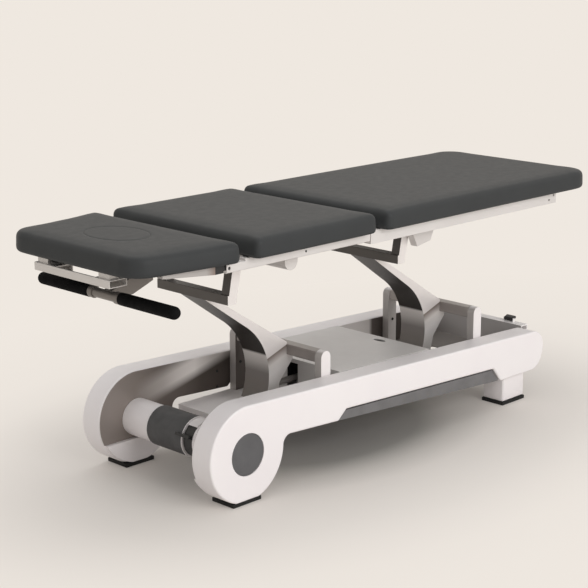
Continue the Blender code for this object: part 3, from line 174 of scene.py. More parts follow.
# Tray colour along its length: white, with painted shade in the well behind the rear posts
TRAY_SHADE_STOPS = ((0.485, "#f4f0ef"), (0.515, "#7d7874"), (0.60, "#746f6b"), (0.7755, "#8d8783"),
              (0.777, "#f1edec"))
BAR_STOPS = ((0.0, "#b3aeaa"), (0.72, "#b3aeaa"), (0.80, "#8f8078"), (0.88, "#6d5444"), (1.0, "#54402f"))

# Colour sockets of a Mix node, by their place in its lists
MIX_A, MIX_B, MIX_RESULT = 6, 7, 2

# Points closer than this, in metres, are one point
MERGE, CAD_MERGE = 0.000001, 0.00003

BODY_OF = {part: body for body, parts in frame["record"]["behaviour"]["bodies"].items() for part in parts}
SLOT_OF = {part["node"]: part["material_slot"] for part in frame["record"]["subparts"]}


# Materials. Pattern sizes are in millimetres.


def srgb(code):
    """Linear colour of an sRGB hex code."""
    channels = [int(code[i:i + 2], 16) / 255 for i in (1, 3, 5)]
    linear = [c / 12.92 if c <= 0.04045 else ((c + 0.055) / 1.055) ** 2.4 for c in channels]
    return (*linear, 1.0)


def node(owner, kind, inputs=None, stops=(), **settings):
    """Add a node with its settings. An input is a value, or the output that feeds it."""
    tree = owner.node_tree
    made = tree.nodes.new("ShaderNode" + kind)
    for name, value in settings.items():
        setattr(made, name, value)
    for name, value in (inputs or {}).items():
        if isinstance(value, bpy.types.NodeSocket):
            tree.links.new(value, made.inputs[name])
        else:
            made.inputs[name].default_value = value
    for i, (place, code) in enumerate(stops):
        if i > 1:
            made.color_ramp.elements.new(1.0)
        made.color_ramp.elements[i].position = place
        made.color_ramp.elements[i].color = srgb(code)
    return made


def shader_of(material):
    return material.node_tree.nodes["Principled BSDF"]


def feed(material, name, socket):
    material.node_tree.links.new(socket, shader_of(material).inputs[name])


def surface(name, code, roughness, metallic=0.0):
    material = bpy.data.materials.new(name)
    material.use_nodes = True
    shader = shader_of(material)
    shader.inputs["Base Color"].default_value = srgb(code)
    shader.inputs["Roughness"].default_value = roughness
    shader.inputs["Metallic"].default_value = metallic
    return material


def pattern(material, size, detail=2.0, stretch=(1, 1, 1), cells=None):
    """Patches, or cells, of a size in millimetres that stay with the piece."""
    own = node(material, "TexCoord").outputs["Object"]
    place = node(material, "Mapping", {"Vector": own, "Scale": stretch})
    where = {"Vector": place.outputs["Vector"], "Scale": 1000 / size}
    if cells:
        return node(material, "TexVoronoi", where, feature=cells).outputs["Distance"]
    return node(material, "TexNoise", {**where, "Detail": detail}).outputs["Fac"]


def two_tone(material, size, dark, light, stretch=(1, 1, 1), detail=2.0):
    """Slow change between two close colours."""
    patches = pattern(material, size, detail, stretch)
    return node(material, "ValToRGB", {"Fac": patches}, ((0.3, dark), (0.7, light))).outputs["Color"]


def uneven_sheen(material, size, low, high, stretch=(1, 1, 1), detail=2.0):
    """Roughness that drifts between two values."""
    spread = node(material, "MapRange", {"Value": pattern(material, size, detail, stretch), "From Min": 0.3,
                                         "From Max": 0.7, "To Min": low, "To Max": high})
    feed(material, "Roughness", spread.outputs["Result"])


def raised_grain(material, size, strength, height, stretch=(1, 1, 1), cells=None):
    """Relief of a size, on top of any relief that is already there."""
    field = pattern(material, size, 2.0, stretch, cells)
    below = shader_of(material).inputs["Normal"].links
    inputs = {"Height": field, "Strength": strength, "Distance": height}
    if below:
        inputs["Normal"] = below[0].from_socket
    feed(material, "Normal", node(material, "Bump", inputs).outputs["Normal"])


def colour_bands(material, start, normal, low, high, stops):
    """Painted light and shade: colours by the distance from a line in the XZ plane, between two distances in
    metres.
    """
    place = node(material, "TexCoord").outputs["Object"]
    across = (normal[0], 0.0, normal[1])
    product = node(material, "VectorMath", {0: place, 1: across}, operation="DOT_PRODUCT")
    offset = start[0] * normal[0] + start[1] * normal[1]
    reach = node(material, "MapRange", {"Value": product.outputs["Value"], "From Min": offset + low,
                                        "From Max": offset + high})
    return node(material, "ValToRGB", {"Fac": reach.outputs["Result"]}, stops).outputs["Color"]


def by_facing(material, axis, first, second, way=0):
    """Painted light and shade by facing: the second colour on faces that look along an axis, either way or
    one way, else the first.
    """
    split = node(material, "SeparateXYZ", {"Vector": node(material, "TexCoord").outputs["Normal"]})
    kind = "MULTIPLY" if way else "ABSOLUTE"
    size = node(material, "Math", {0: split.outputs[axis], 1: way}, operation=kind)
    mask = node(material, "MapRange", {"Value": size.outputs["Value"], "From Min": 0.35, "From Max": 0.75})
    both = {"Factor": mask.outputs["Result"], MIX_A: first, MIX_B: second}
    return node(material, "Mix", both, data_type="RGBA").outputs[MIX_RESULT]


def make_vinyl():
    """Upholstery vinyl, embossed: an even dark grey with a soft low sheen.

    The real pebbles are about 0.6 mm and are drawn at 1.1 mm, so that they show at all."""
    material = surface("upholstery_vinyl", "#38393a", 0.5)
    feed(material, "Base Color", two_tone(material, 110, "#37393a", "#393b3c"))
    uneven_sheen(material, 25, 0.50, 0.55, detail=3.0)
    raised_grain(material, 70, 0.02, 0.0010)
    raised_grain(material, 1.1, 0.12, 0.0003, cells="SMOOTH_F1")
    shader_of(material).inputs["Specular IOR Level"].default_value = 0.18
    return material


def make_powder_coat(name, code, dark, light):
    """Powder coat, sprayed and baked: an even colour with a soft gloss.

    Its orange peel is about 1.4 mm from crest to crest."""
    material = surface(name, code, 0.38)
    feed(material, "Base Color", two_tone(material, 200, dark, light))
    uneven_sheen(material, 40, 0.34, 0.44)
    raised_grain(material, 1.4, 0.06, 0.0003)
    return material


def make_satin_steel(name, code, dark, light, metallic=0.7):
    """Steel or aluminium, ground satin: a broad soft reflection drawn out along its height.

    The real scratches are under 0.1 mm and are drawn at 1.1 mm, so that they show at all."""
    material = surface(name, code, 0.34, metallic)
    feed(material, "Base Color", two_tone(material, 83, dark, light, (1, 1, 0.4)))
    uneven_sheen(material, 11, 0.31, 0.37, (4, 4, 0.3))
    raised_grain(material, 1.1, 0.03, 0.0001, (1, 1, 0.06))
    return material


def make_arm_steel(name, shift):
    """Sheet steel, folded and ground, painted with reflection and shade: the web is dark above a painted
    light band where it curves, and the cheeks are light with a painted band of shade from the web to the
    pivot bar."""
    material = surface(name, "#8f8985", 0.36, 0.35)
    web = colour_bands(material, ORIGIN, UPWARD, *WEB_SPAN, WEB_LIGHT_AND_SHADE_STOPS)
    start = (CHEEK_SHADE_LINE_START[0] + shift, CHEEK_SHADE_LINE_START[1])
    cheek = colour_bands(material, start, CHEEK_SHADE_LINE_NORMAL, *CHEEK_SHADE_LINE_SPAN, CHEEK_LIGHT_AND_SHADE_STOPS)
    feed(material, "Base Color", by_facing(material, "Y", web, cheek))
    uneven_sheen(material, 11, 0.34, 0.40, (4, 4, 0.3))
    raised_grain(material, 1.1, 0.03, 0.0001, (1, 1, 0.06))
    return material


def make_yoke_steel():
    """Steel bar, painted: painted shade makes it dark to the head end, and painted light makes it light on
    its ends and the ears' sides.
    """
    material = surface("yoke_steel", "#5a5551", 0.40, 0.2)
    dark = two_tone(material, 125, "#4b4743", "#55504c")
    light = two_tone(material, 125, "#e6e1de", "#efeae8")
    feed(material, "Base Color", by_facing(material, "Y", dark, light))
    return material


def make_post_coat(name, way, dark, light):
    """Powder coat of a post, with painted shade: greyer on its front and rear edge, and the given shade on
    the face to the arm.
    """
    material = surface(name, "#f1ebea", 0.38)
    coat = two_tone(material, 200, "#ece7e6", "#efebea")
    edge = two_tone(material, 200, "#aca7a4", "#b2adaa")
    arm_face_shade = two_tone(material, 83, dark, light)
    outside = by_facing(material, "X", coat, edge)
    feed(material, "Base Color", by_facing(material, "Y", outside, arm_face_shade, way))
    raised_grain(material, 1.4, 0.05, 0.0003)
    return material


def make_tray_coat():
    """Powder coat of the tray: white, with painted shade making it greyer in the well behind the rear posts.
    """
    material = surface("tray_coat", "#f1edec", 0.42)
    feed(material, "Base Color", colour_bands(material, ORIGIN, ALONG, *TRAY_SPAN, TRAY_SHADE_STOPS))
    raised_grain(material, 1.4, 0.05, 0.0003)
    return material


def make_plate_steel():
    """Sheet steel, ground satin: dark, lighter towards the front and with a light band as painted light and
    shade, and a broad slanting streak of painted reflection.
    """
    material = surface("plate_satin_steel", "#6f6a67", 0.38, 0.35)
    painted_reflection = colour_bands(material, REFLECTION_STREAK_START, REFLECTION_STREAK_NORMAL, *REFLECTION_STREAK_SPAN, REFLECTION_STREAK_STOPS)
    front = colour_bands(material, PLATE_START, ALONG, *PLATE_SPAN, PLATE_LIGHT_AND_SHADE_STOPS)
    fade = colour_bands(material, REFLECTION_STREAK_FADE_START, ALONG, *REFLECTION_STREAK_FADE_SPAN, REFLECTION_STREAK_FADE)
    added = node(material, "Mix", {"Factor": fade, MIX_A: front, MIX_B: painted_reflection}, data_type="RGBA",
                 blend_type="ADD")
    feed(material, "Base Color", added.outputs[MIX_RESULT])
    uneven_sheen(material, 11, 0.34, 0.42, (0.3, 4, 4))
    raised_grain(material, 1.1, 0.03, 0.0001, (0.06, 1, 1))
    return material


def make_bar_paint():
    """Enamel of the head section's bars: light grey, browner in the shade of the hinge."""
    material = surface("head_bar_enamel", "#bab5b1", 0.42)
    feed(material, "Base Color", colour_bands(material, BAR_START, ALONG, *BAR_SPAN, BAR_STOPS))
    raised_grain(material, 1.4, 0.05, 0.0003)
    return material


def make_moulded(name, code, dark, light, roughness=(0.42, 0.55), grain=0.9):
    """ABS, nylon or rubber, moulded in a spark-eroded tool: dull, with a fine even grain."""
    material = surface(name, code, roughness[0])
    feed(material, "Base Color", two_tone(material, 56, dark, light, detail=3.0))
    uneven_sheen(material, 20, *roughness, detail=3.0)
    raised_grain(material, grain, 0.15, 0.0003, cells="F1")
    return material


def make_foam():
    """Closed-cell foam of the grips: near black and very matt, with cells of about 2.4 mm."""
    material = surface("grip_foam", "#0b0b0c", 0.85)
    shade = node(material, "ValToRGB", {"Fac": pattern(material, 2.4, cells="F1")},
                 ((0.1, "#070708"), (0.7, "#121213")))
    feed(material, "Base Color", shade.outputs["Color"])
    uneven_sheen(material, 17, 0.75, 0.95, detail=3.0)
    raised_grain(material, 2.4, 0.4, 0.0004, cells="F1")
    shader_of(material).inputs["Specular IOR Level"].default_value = 0.1
    return material


vinyl = make_vinyl()
white = make_powder_coat("white_powder_coat", "#efeaeb", "#ede8e9", "#f0ecec")
# Rails, beams and cross members: the white coat drawn greyer as painted shade from the pads above
rail_shaded_white = make_powder_coat("rail_shaded_powder_coat", "#dad5d2", "#d6d1ce", "#dedad7")
centre_white = make_powder_coat("centre_cover_powder_coat", "#d2cfcd", "#cfccca", "#d5d2d0")
tray_coat = make_tray_coat()
# Posts: the face to the arm takes painted shade, deep on the front posts and the near rear post, light on the
# far rear post
posts = {
    "front_post_near": make_post_coat("near_post_coat", 1, "#4f4844", "#57504c"),
    "front_post_far": make_post_coat("far_post_coat", -1, "#4f4844", "#57504c"),
    "rear_post_far": make_post_coat("rear_far_post_coat", -1, "#cfcac7", "#d5d1ce"),
}
posts["rear_post_near"] = posts["front_post_near"]
arm_steels = {
    "front": make_arm_steel("front_arm_steel", 0.0),
    "rear": make_arm_steel("rear_arm_steel", ARM_PITCH),
}
yoke_steel = make_yoke_steel()
plate_steel = make_plate_steel()
bar_steel = make_satin_steel("pivot_bar_steel", "#9b9592", "#8f8986", "#a39d9a", 0.4)
bright_steel = make_satin_steel("bright_steel", "#9a9693", "#96928f", "#9e9a97")
aluminium = make_satin_steel("anodised_aluminium", "#d2ceca", "#cfcbc7", "#d5d1cd", 0.3)
head_grey = make_satin_steel("warm_grey_enamel", "#7c7671", "#7a746f", "#7e7873", 0.3)
bar_paint = make_bar_paint()
cap_grey = make_moulded("dark_grey_abs", "#565658", "#525254", "#5a5a5c")
control_grey = make_moulded("control_bar_abs", "#6b6a6b", "#656465", "#717071")
black_plastic = make_moulded("black_nylon", "#1c1c1d", "#171718", "#212122")
sleeve_rubber = make_moulded("sleeve_rubber", "#4a4a4b", "#454546", "#4f4f50", (0.6, 0.75), 1.25)
pad_rubber = make_moulded("pad_rubber", "#0d0d0d", "#0a0a0a", "#121212", (0.75, 0.9), 1.7)
strut_black = make_moulded("strut_enamel", "#1c1c1d", "#19191a", "#202021", (0.25, 0.35))
foam = make_foam()
MATERIAL_OF_SLOT = {
    "vinyl": vinyl, "white_paint": white, "plate_steel": plate_steel, "satin_steel": bright_steel,
    "cap_grey": cap_grey, "control_grey": control_grey, "black_plastic": black_plastic,
    "sleeve_rubber": sleeve_rubber, "black_rubber": pad_rubber, "foam": foam, "silver": aluminium,
    "head_grey": head_grey, "strut_black": strut_black}


# Shapes


def only(piece):
    """Select a piece alone and make it active."""
    bpy.ops.object.select_all(action="DESELECT")
    piece.select_set(True)
    bpy.context.view_layer.objects.active = piece


def open_mesh(piece):
    """Enter edit mode with everything selected."""
    only(piece)
    bpy.ops.object.mode_set(mode="EDIT")
    bpy.ops.mesh.select_all(action="SELECT")


def close_mesh():
    """Merge doubles, drop what is loose, turn the faces outwards and leave edit mode."""
    bpy.ops.mesh.select_all(action="SELECT")
    bpy.ops.mesh.remove_doubles(threshold=MERGE)
    bpy.ops.mesh.delete_loose()
    bpy.ops.mesh.select_all(action="SELECT")
    bpy.ops.mesh.normals_make_consistent(inside=False)
    bpy.ops.object.mode_set(mode="OBJECT")


def coat(piece, name, material, sharp=35):
    """Name a new piece, shade it and give it its material."""
    piece.name = name
    piece.data.name = name
    only(piece)
    bpy.ops.object.shade_smooth_by_angle(angle=math.radians(sharp))
    piece.data.materials.clear()
    if material:
        piece.data.materials.append(material)
    return piece


def prism(name, outline, axis, low, high, material=None):
    """Lay a closed outline out as one face and extrude it between two levels.

    The outline holds (x, z) pairs for axis Y and (x, y) pairs for axis Z."""
    def place(u, v, w):
        return (u, w, v) if axis == "Y" else (u, v, w)

    bpy.ops.mesh.primitive_circle_add(vertices=len(outline), fill_type="NGON", location=(0, 0, 0))
    piece = bpy.context.object
    for vertex, (u, v) in zip(piece.data.vertices, outline):
        vertex.co = place(u, v, low)
    open_mesh(piece)
    bpy.ops.mesh.extrude_region_move(TRANSFORM_OT_translate={"value": place(0, 0, high - low)})
    close_mesh()
    return coat(piece, name, material)


def box(name, x, y, z, material=None):
    corners = [(x[0], y[0]), (x[1], y[0]), (x[1], y[1]), (x[0], y[1])]
    return prism(name, corners, "Z", *z, material)


def turned(name, profile, centre, direction, material=None, steps=64):
    """Spin a closed outline of (along, radius) points about a line through centre."""
    turn = Vector(direction).to_track_quat("Z", "Y").to_matrix()
    bpy.ops.mesh.primitive_circle_add(vertices=len(profile), fill_type="NOTHING", location=(0, 0, 0))
    piece = bpy.context.object
    for vertex, (along, radius) in zip(piece.data.vertices, profile):
        vertex.co = Vector(centre) + turn @ Vector((radius, 0, along))
    open_mesh(piece)
    bpy.ops.mesh.spin(steps=steps, angle=2 * math.pi, center=centre, axis=turn @ Vector((0, 0, 1)))
    close_mesh()
    return coat(piece, name, material)


def rod(name, start, end, radius, material=None, steps=32):
    start, end = Vector(start), Vector(end)
    way = end - start
    bpy.ops.mesh.primitive_cylinder_add(vertices=steps, radius=radius, depth=way.length,
                                        location=(start + end) / 2,
                                        rotation=way.to_track_quat("Z", "Y").to_euler())
    bpy.ops.object.transform_apply(location=True, rotation=True, scale=True)
    return coat(bpy.context.object, name, material)


def cross_rod(name, place, y, radius, material=None, steps=32):
    """Round bar along Y at an (x, z) place."""
    return rod(name, (place[0], y[0], place[1]), (place[0], y[1], place[1]), radius, material, steps)


def apply_modifiers(piece):
    only(piece)
    for name in [modifier.name for modifier in piece.modifiers]:
        bpy.ops.object.modifier_apply(modifier=name)


def combine(piece, tool, operation):
    """Boolean of two closed pieces. The tool is used up."""
    modifier = piece.modifiers.new(operation, "BOOLEAN")
    modifier.operation = operation
    modifier.object = tool
    modifier.solver = "EXACT"
    apply_modifiers(piece)
    only(tool)
    bpy.ops.object.delete()
    return piece


def cut(piece, *tools):
    for tool in tools:
        combine(piece, tool, "DIFFERENCE")
    return piece


def join(piece, *tools):
    for tool in tools:
        combine(piece, tool, "UNION")
    return piece


def soften(piece, width, segments=2, angle=35):
    """Rounded edges with shading that keeps the flats flat."""
    bevel = piece.modifiers.new("rounded_edges", "BEVEL")
    bevel.width = width
    bevel.segments = segments
    bevel.limit_method = "ANGLE"
    bevel.angle_limit = math.radians(angle)
    bevel.harden_normals = True
    apply_modifiers(piece)
    return piece


def flatten(piece, angle=30):
    """Shading whose flat faces stay flat after the cuts, with soft edges left soft."""
    only(piece)
    bpy.ops.object.shade_smooth_by_angle(angle=math.radians(angle))
    weights = piece.modifiers.new("flat_faces", "WEIGHTED_NORMAL")
    weights.keep_sharp = True
    weights.weight = 100
    apply_modifiers(piece)
    return piece


def arc(centre, radius, start, end, steps):
    angles = [math.radians(start + (end - start) * i / steps) for i in range(steps + 1)]
    return [(centre[0] + radius * math.cos(a), centre[1] + radius * math.sin(a)) for a in angles]


def bezier(points, steps):
    places = []
    for i in range(steps + 1):
        t = i / steps
        weights = ((1 - t) ** 3, 3 * t * (1 - t) ** 2, 3 * t * t * (1 - t), t ** 3)
        places.append(tuple(sum(w * p[k] for w, p in zip(weights, points)) for k in (0, 1)))
    return places


def rounded(corners, steps=8):
    """Outline through (u, v, radius) corners, each turned by an arc of its radius."""
    outline = []
    for i, (u, v, radius) in enumerate(corners):
        here = Vector((u, v))
        back = (Vector(corners[i - 1][:2]) - here).normalized()
        ahead = (Vector(corners[(i + 1) % len(corners)][:2]) - here).normalized()
        if radius <= 0:
            outline.append((u, v))
            continue
        half = back.angle(ahead) / 2
        centre = here + (back + ahead).normalized() * (radius / math.sin(half))
        first = here + back * (radius / math.tan(half)) - centre
        last = here + ahead * (radius / math.tan(half)) - centre
        turn = math.atan2(first.x * last.y - first.y * last.x, first.dot(last))
        for k in range(steps + 1):
            turned_by = Matrix.Rotation(turn * k / steps, 2) @ first
            outline.append((centre.x + turned_by.x, centre.y + turned_by.y))
    return outline


def ellipse(centre, axes, steps):
    angles = [2 * math.pi * i / steps for i in range(steps)]
    return [(centre[0] + axes[0] * math.cos(a), centre[1] + axes[1] * math.sin(a)) for a in angles]


def folded(points, thickness):
    """Outline of a folded sheet: the line through its outer face, thickened to the left."""
    inner = []
    for i, point in enumerate(points):
        here = Vector(point)
        ways = []
        if i > 0:
            ways.append((here - Vector(points[i - 1])).normalized())
        if i < len(points) - 1:
            ways.append((Vector(points[i + 1]) - here).normalized())
        normals = [Vector((-s.y, s.x)) for s in ways]
        mean = sum(normals, Vector((0, 0))).normalized()
        inner.append(here + mean * (thickness / mean.dot(normals[0])))
    return [tuple(p) for p in points] + [tuple(p) for p in reversed(inner)]


def inset_outline(outline, gap):
    """Closed outline moved inwards by a gap, along the normal at each point."""
    area = sum(a[0] * b[1] - b[0] * a[1] for a, b in zip(outline, outline[1:] + outline[:1]))
    side = 1 if area > 0 else -1
    moved = []
    for i, (u, v) in enumerate(outline):
        along = Vector(outline[(i + 1) % len(outline)]) - Vector(outline[i - 1])
        normal = Vector((-along.y, along.x)).normalized() * side
        moved.append((u + normal.x * gap, v + normal.y * gap))
    return moved


def sides():
    return (("near", -1), ("far", 1))


def span(side, inner, outer):
    """Range along Y between two distances from the middle, on one side."""
    return (-outer, -inner) if side < 0 else (inner, outer)


def stand_for(piece, *nodes):
    """The piece replaces these nodes and rides on their body."""
    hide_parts(*nodes)
    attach(piece, BODY_OF[nodes[0]])
    return piece


def add_trim(piece, body):
    """A piece that no node of the solids stands for."""
    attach(piece, body)
    return piece


# Padded top


def roll_edge(piece, level, radius, segments):
    """Round the edge that runs round a piece at one height."""
    for part in (*piece.data.polygons, *piece.data.edges):
        part.select = False
    for vertex in piece.data.vertices:
        vertex.select = abs(vertex.co.z - level) < MERGE
    only(piece)
    bpy.ops.object.mode_set(mode="EDIT")
    bpy.ops.mesh.select_mode(type="VERT")
    bpy.ops.mesh.bevel(offset=radius, segments=segments, affect="EDGES", clamp_overlap=False)
    bpy.ops.object.mode_set(mode="OBJECT")


def raw_pad(name, outline):
    """Closed pad before it swells: rolled top edge, small rolled foot and a flat underside."""
    top = PAD_TOP - PAD_SLACK
    pad = prism(name, inset_outline(outline, PAD_SLACK), "Z", PAD_BOTTOM, top, vinyl)
    roll_edge(pad, top, PAD_ROLL, 6)
    roll_edge(pad, PAD_BOTTOM, PAD_FOOT_ROLL, 4)
    remesh = pad.modifiers.new("remesh", "REMESH")
    remesh.mode = "VOXEL"
    remesh.voxel_size = PAD_VOXEL * 1
    remesh.use_smooth_shade = True
    apply_modifiers(pad)
    return pad


def swell(pads):
    """Inflate the pads as cloth for a few frames, with their undersides held. The travel is capped
    and evened out over the mesh, so the pad gets the crown and none of the cloth's wrinkles."""
    start = {pad.name: mesh_points(pad) for pad in pads}
    for pad in pads:
        held = pad.vertex_groups.new(name="held")
        low = [v.index for v in pad.data.vertices if v.co.z < PAD_BOTTOM + 0.004]
        held.add(low, 1.0, "REPLACE")
        cloth = pad.modifiers.new("swell", "CLOTH")
        cloth.settings.quality = 4
        cloth.settings.use_pressure = True
        cloth.settings.uniform_pressure_force = SWELL_PRESSURE
        cloth.settings.tension_stiffness = 40
        cloth.settings.compression_stiffness = 40
        cloth.settings.bending_stiffness = 4
        cloth.settings.vertex_group_mass = "held"
        cloth.settings.effector_weights.gravity = 0.0
        cloth.point_cache.frame_start = 1
        cloth.point_cache.frame_end = SWELL_FRAMES
    for step in range(1, SWELL_FRAMES + 1):
        bpy.context.scene.frame_set(step)
    for pad in pads:
        apply_modifiers(pad)
        before = start[pad.name]
        move = mesh_points(pad) - before
        length = np.linalg.norm(move, axis=1, keepdims=True)
        move *= np.minimum(1.0, PAD_SWELL / np.maximum(length, 1e-9))
        place_points(pad, before + evened(pad, move, SWELL_ROUNDS))
    bpy.context.scene.frame_set(1)


def mesh_points(piece):
    flat = np.empty(len(piece.data.vertices) * 3)
    piece.data.vertices.foreach_get("co", flat)
    return flat.reshape(-1, 3)


def place_points(piece, points):
    piece.data.vertices.foreach_set("co", points.ravel())
    piece.data.update()


def evened(piece, move, rounds):
    """Average a vector of every point with those of its neighbours, several times over."""
    edges = np.empty(len(piece.data.edges) * 2, dtype=np.int32)
    piece.data.edges.foreach_get("vertices", edges)
    first, second = edges[0::2], edges[1::2]
    count = len(move)
    links = np.bincount(first, minlength=count) + np.bincount(second, minlength=count)
    for _ in range(rounds):
        total = np.empty_like(move)
        for k in range(3):
            total[:, k] = (np.bincount(first, weights=move[second, k], minlength=count)
                           + np.bincount(second, weights=move[first, k], minlength=count))
        move = 0.5 * move + 0.5 * total / links[:, None]
    return move


def relax(piece, factor=0.5, rounds=4):
    """Even out the small steps that the voxels leave."""
    smooth = piece.modifiers.new("relax", "SMOOTH")
    smooth.factor = factor
    smooth.iterations = rounds
    apply_modifiers(piece)
    bpy.ops.object.shade_smooth()


def plug_distance(x, y):
    """Rough distance of a point from the seam ellipse of the face plug."""
    u, v = (x - PLUG_CENTRE[0]) / PLUG_AXES[0], (y - PLUG_CENTRE[1]) / PLUG_AXES[1]
    reach = math.hypot(u, v)
    return abs(reach - 1) * min(PLUG_AXES)


def split_plug(head):
    """Cut the face plug out of the head cushion and turn both edges down along the seam."""
    only(head)
    bpy.ops.object.duplicate()
    plug = bpy.context.object
    plug.name = "face_plug_pad"
    hole = ellipse(PLUG_CENTRE, PLUG_AXES, 96)
    cut(head, prism("hole", hole, "Z", PAD_BOTTOM - 0.1, PAD_TOP + 0.1))
    inner = ellipse(PLUG_CENTRE, [a - PLUG_GAP for a in PLUG_AXES], 96)
    combine(plug, prism("core", inner, "Z", PLUG_FOOT, PAD_TOP + 0.1), "INTERSECT")
    for piece in (head, plug):
        for vertex in piece.data.vertices:
            if vertex.co.z > PAD_TOP - 0.006:
                gap = plug_distance(vertex.co.x, vertex.co.y)
                vertex.co.z -= PLUG_DIP * math.exp(-(gap / PLUG_FADE) ** 2)
        only(piece)
        bpy.ops.object.shade_smooth_by_angle(angle=math.radians(60))
    return plug


def build_pads():
    pads = [raw_pad("head_pad", rounded(HEAD_OUTLINE)), raw_pad("seat_pad", rounded(SEAT_OUTLINE)),
            raw_pad("leg_pad", rounded(LEG_OUTLINE, 12))]
    swell(pads)
    for pad in pads:
        relax(pad)
    head, seat, leg = pads
    plug = split_plug(head)
    for piece, part in ((head, "head_cushion"), (seat, "seat_cushion"), (leg, "leg_cushion"),
                        (plug, "face_plug")):
        stand_for(piece, part)


# Base


def top_line(x):
    normal = math.hypot(TOP_SLOPE, 1)
    touch = (LOBE[0] - LOBE_RADIUS * TOP_SLOPE / normal, LOBE[1] + LOBE_RADIUS / normal)
    return touch[1] + TOP_SLOPE * (x - touch[0])


def cover_outline(shrink=0.0, sole=SOLE):
    """Side view of a side cover: front lobe, fillet, raised lower edge and blunt rear end."""
    radius = LOBE_RADIUS - shrink
    dip = math.degrees(math.asin((LOBE[1] - sole) / radius))
    reach = radius + LOBE_FILLET
    drop = COVER_UNDER + shrink - LOBE_FILLET - LOBE[1]
    fillet = (LOBE[0] + math.sqrt(reach ** 2 - drop ** 2), LOBE[1] + drop)
    meet = math.degrees(math.asin(drop / reach))
    start = 90 + math.degrees(math.atan(TOP_SLOPE))
    outline = arc(LOBE, radius, start, 180 + dip, 72)
    outline += arc(LOBE, radius, 360 - dip, 360 + meet, 32)
    outline += arc(fillet, LOBE_FILLET, 180 + meet, 90, 12)[1:]
    rear, nose = COVER_REAR
    corners = [(NOTCH[0][0], NOTCH[0][1] + shrink, 0.0), (NOTCH[1][0], NOTCH[1][1] + shrink, 0.0),
               (NOTCH[2][0] + shrink, NOTCH[2][1] + shrink, 0.0),
               (NOTCH[3][0] + shrink, NOTCH[3][1] + shrink, 0.0),
               (rear - shrink, COVER_REAR_BOTTOM + shrink, COVER_REAR_ROUND),
               (nose - shrink, top_line(nose) - shrink, COVER_REAR_ROUND)]
    shape = [outline[-1] + (0.0,)] + corners + [outline[0] + (0.0,)]
    outline += rounded(shape, 14)[1:-1]
    return outline


def build_side(name, side):
    """Side cover, inner plate and cap of one side."""
    cover = prism("cover_shell_" + name, cover_outline(), "Y", *span(side, COVER_INNER, COVER_OUTER), white)
    soften(cover, 0.0050, 4)
    face = side * COVER_OUTER
    cut(cover, cross_rod("recess", LOBE, sorted((face - side * CAP_DEPTH, face + side * 0.02)),
                         CAP_RADIUS + 0.0008, steps=96))
    start, end = [(x, side * COVER_BORE_Y, z) for x, z in COVER_BORE]
    cut(cover, rod("bores", start, end, COVER_BORE_RADIUS, steps=16))
    radius = LOBE_RADIUS - 0.0050
    dip = math.degrees(math.asin((LOBE[1] - SOLE - 0.0007) / radius))
    rise = math.degrees(math.asin((LOBE[1] - WEB_TOP) / radius))
    web = arc(LOBE, radius, 180 + rise, 180 + dip, 16) + arc(LOBE, radius, 360 - dip, 360 - rise, 16)
    join(cover, prism("web", web, "Y", *span(side, WEB_INNER, COVER_INNER + 0.004)))
    stand_for(flatten(cover), "side_cover_" + name)

    outline = cover_outline(0.0048 if side < 0 else 0.0020, PLATE_SOLE)
    depth = span(side, PLATE_INNER, COVER_INNER - 0.0003)
    plate = prism("inner_plate_" + name, outline, "Y", *depth, plate_steel)
    stand_for(soften(plate, 0.0006, 1), "side_plate_" + name)

    low, high = span(side, COVER_OUTER - CAP_DEPTH + 0.0003, COVER_OUTER - 0.0006)
    rim = 0.0012
    face, back = (high, low) if side > 0 else (low, high)
    profile = [(back, 0), (back, CAP_RADIUS), (face - side * rim, CAP_RADIUS), (face, CAP_RADIUS - rim),
               (face, 0)]
    cap = turned("lobe_cap_disc_" + name, profile, (LOBE[0], 0, LOBE[1]), (0, 1, 0), cap_grey, 96)
    stand_for(cap, "lobe_cap_" + name)


def cad_copy(part, name, material, width=0.0012, segments=2):
    """Merged copy of a CAD node with its flats joined and its edges rounded."""
    piece = bpy.data.objects.new(name, frame["nodes"][part].data.copy())
    bpy.context.scene.collection.objects.link(piece)
    open_mesh(piece)
    bpy.ops.mesh.remove_doubles(threshold=CAD_MERGE)
    bpy.ops.mesh.dissolve_limited(angle_limit=math.radians(0.5))
    close_mesh()
    coat(piece, name, material)
    if width:
        soften(piece, width, segments)
    return piece


def dress(part, material=None, width=0.0012, segments=2):
    material = material or MATERIAL_OF_SLOT[SLOT_OF[part]]
    return stand_for(cad_copy(part, part + "_dressed", material, width, segments), part)


def screw(name, centre, radius, body, slot):
    """Pan head with a hexagon socket, seated on a face that looks to the near side."""
    profile = [(-0.0004, 0), (-0.0004, radius), (radius * 0.35, radius), (radius * 0.6, radius * 0.75),
               (radius * 0.6, 0)]
    way = Vector((0, -1, 0))
    head = turned(name, profile, centre, way, MATERIAL_OF_SLOT[slot], 32)
    socket = [(0, 0), (0, radius * 0.45), (radius, radius * 0.45), (radius, 0)]
    cut(head, turned("socket", socket, Vector(centre) + way * radius * 0.2, way, steps=6))
    add_trim(head, body)


def spoke(angle, near, far, half):
    """Rectangle on a spoke of the lobe axis, between two radii."""
    a = math.radians(angle)
    along, beside = Vector((math.cos(a), math.sin(a))), Vector((-math.sin(a), math.cos(a)))
    corners = ((near, -half), (far, -half), (far, half), (near, half))
    return [tuple(Vector(LOBE) + along * r + beside * w) for r, w in corners]


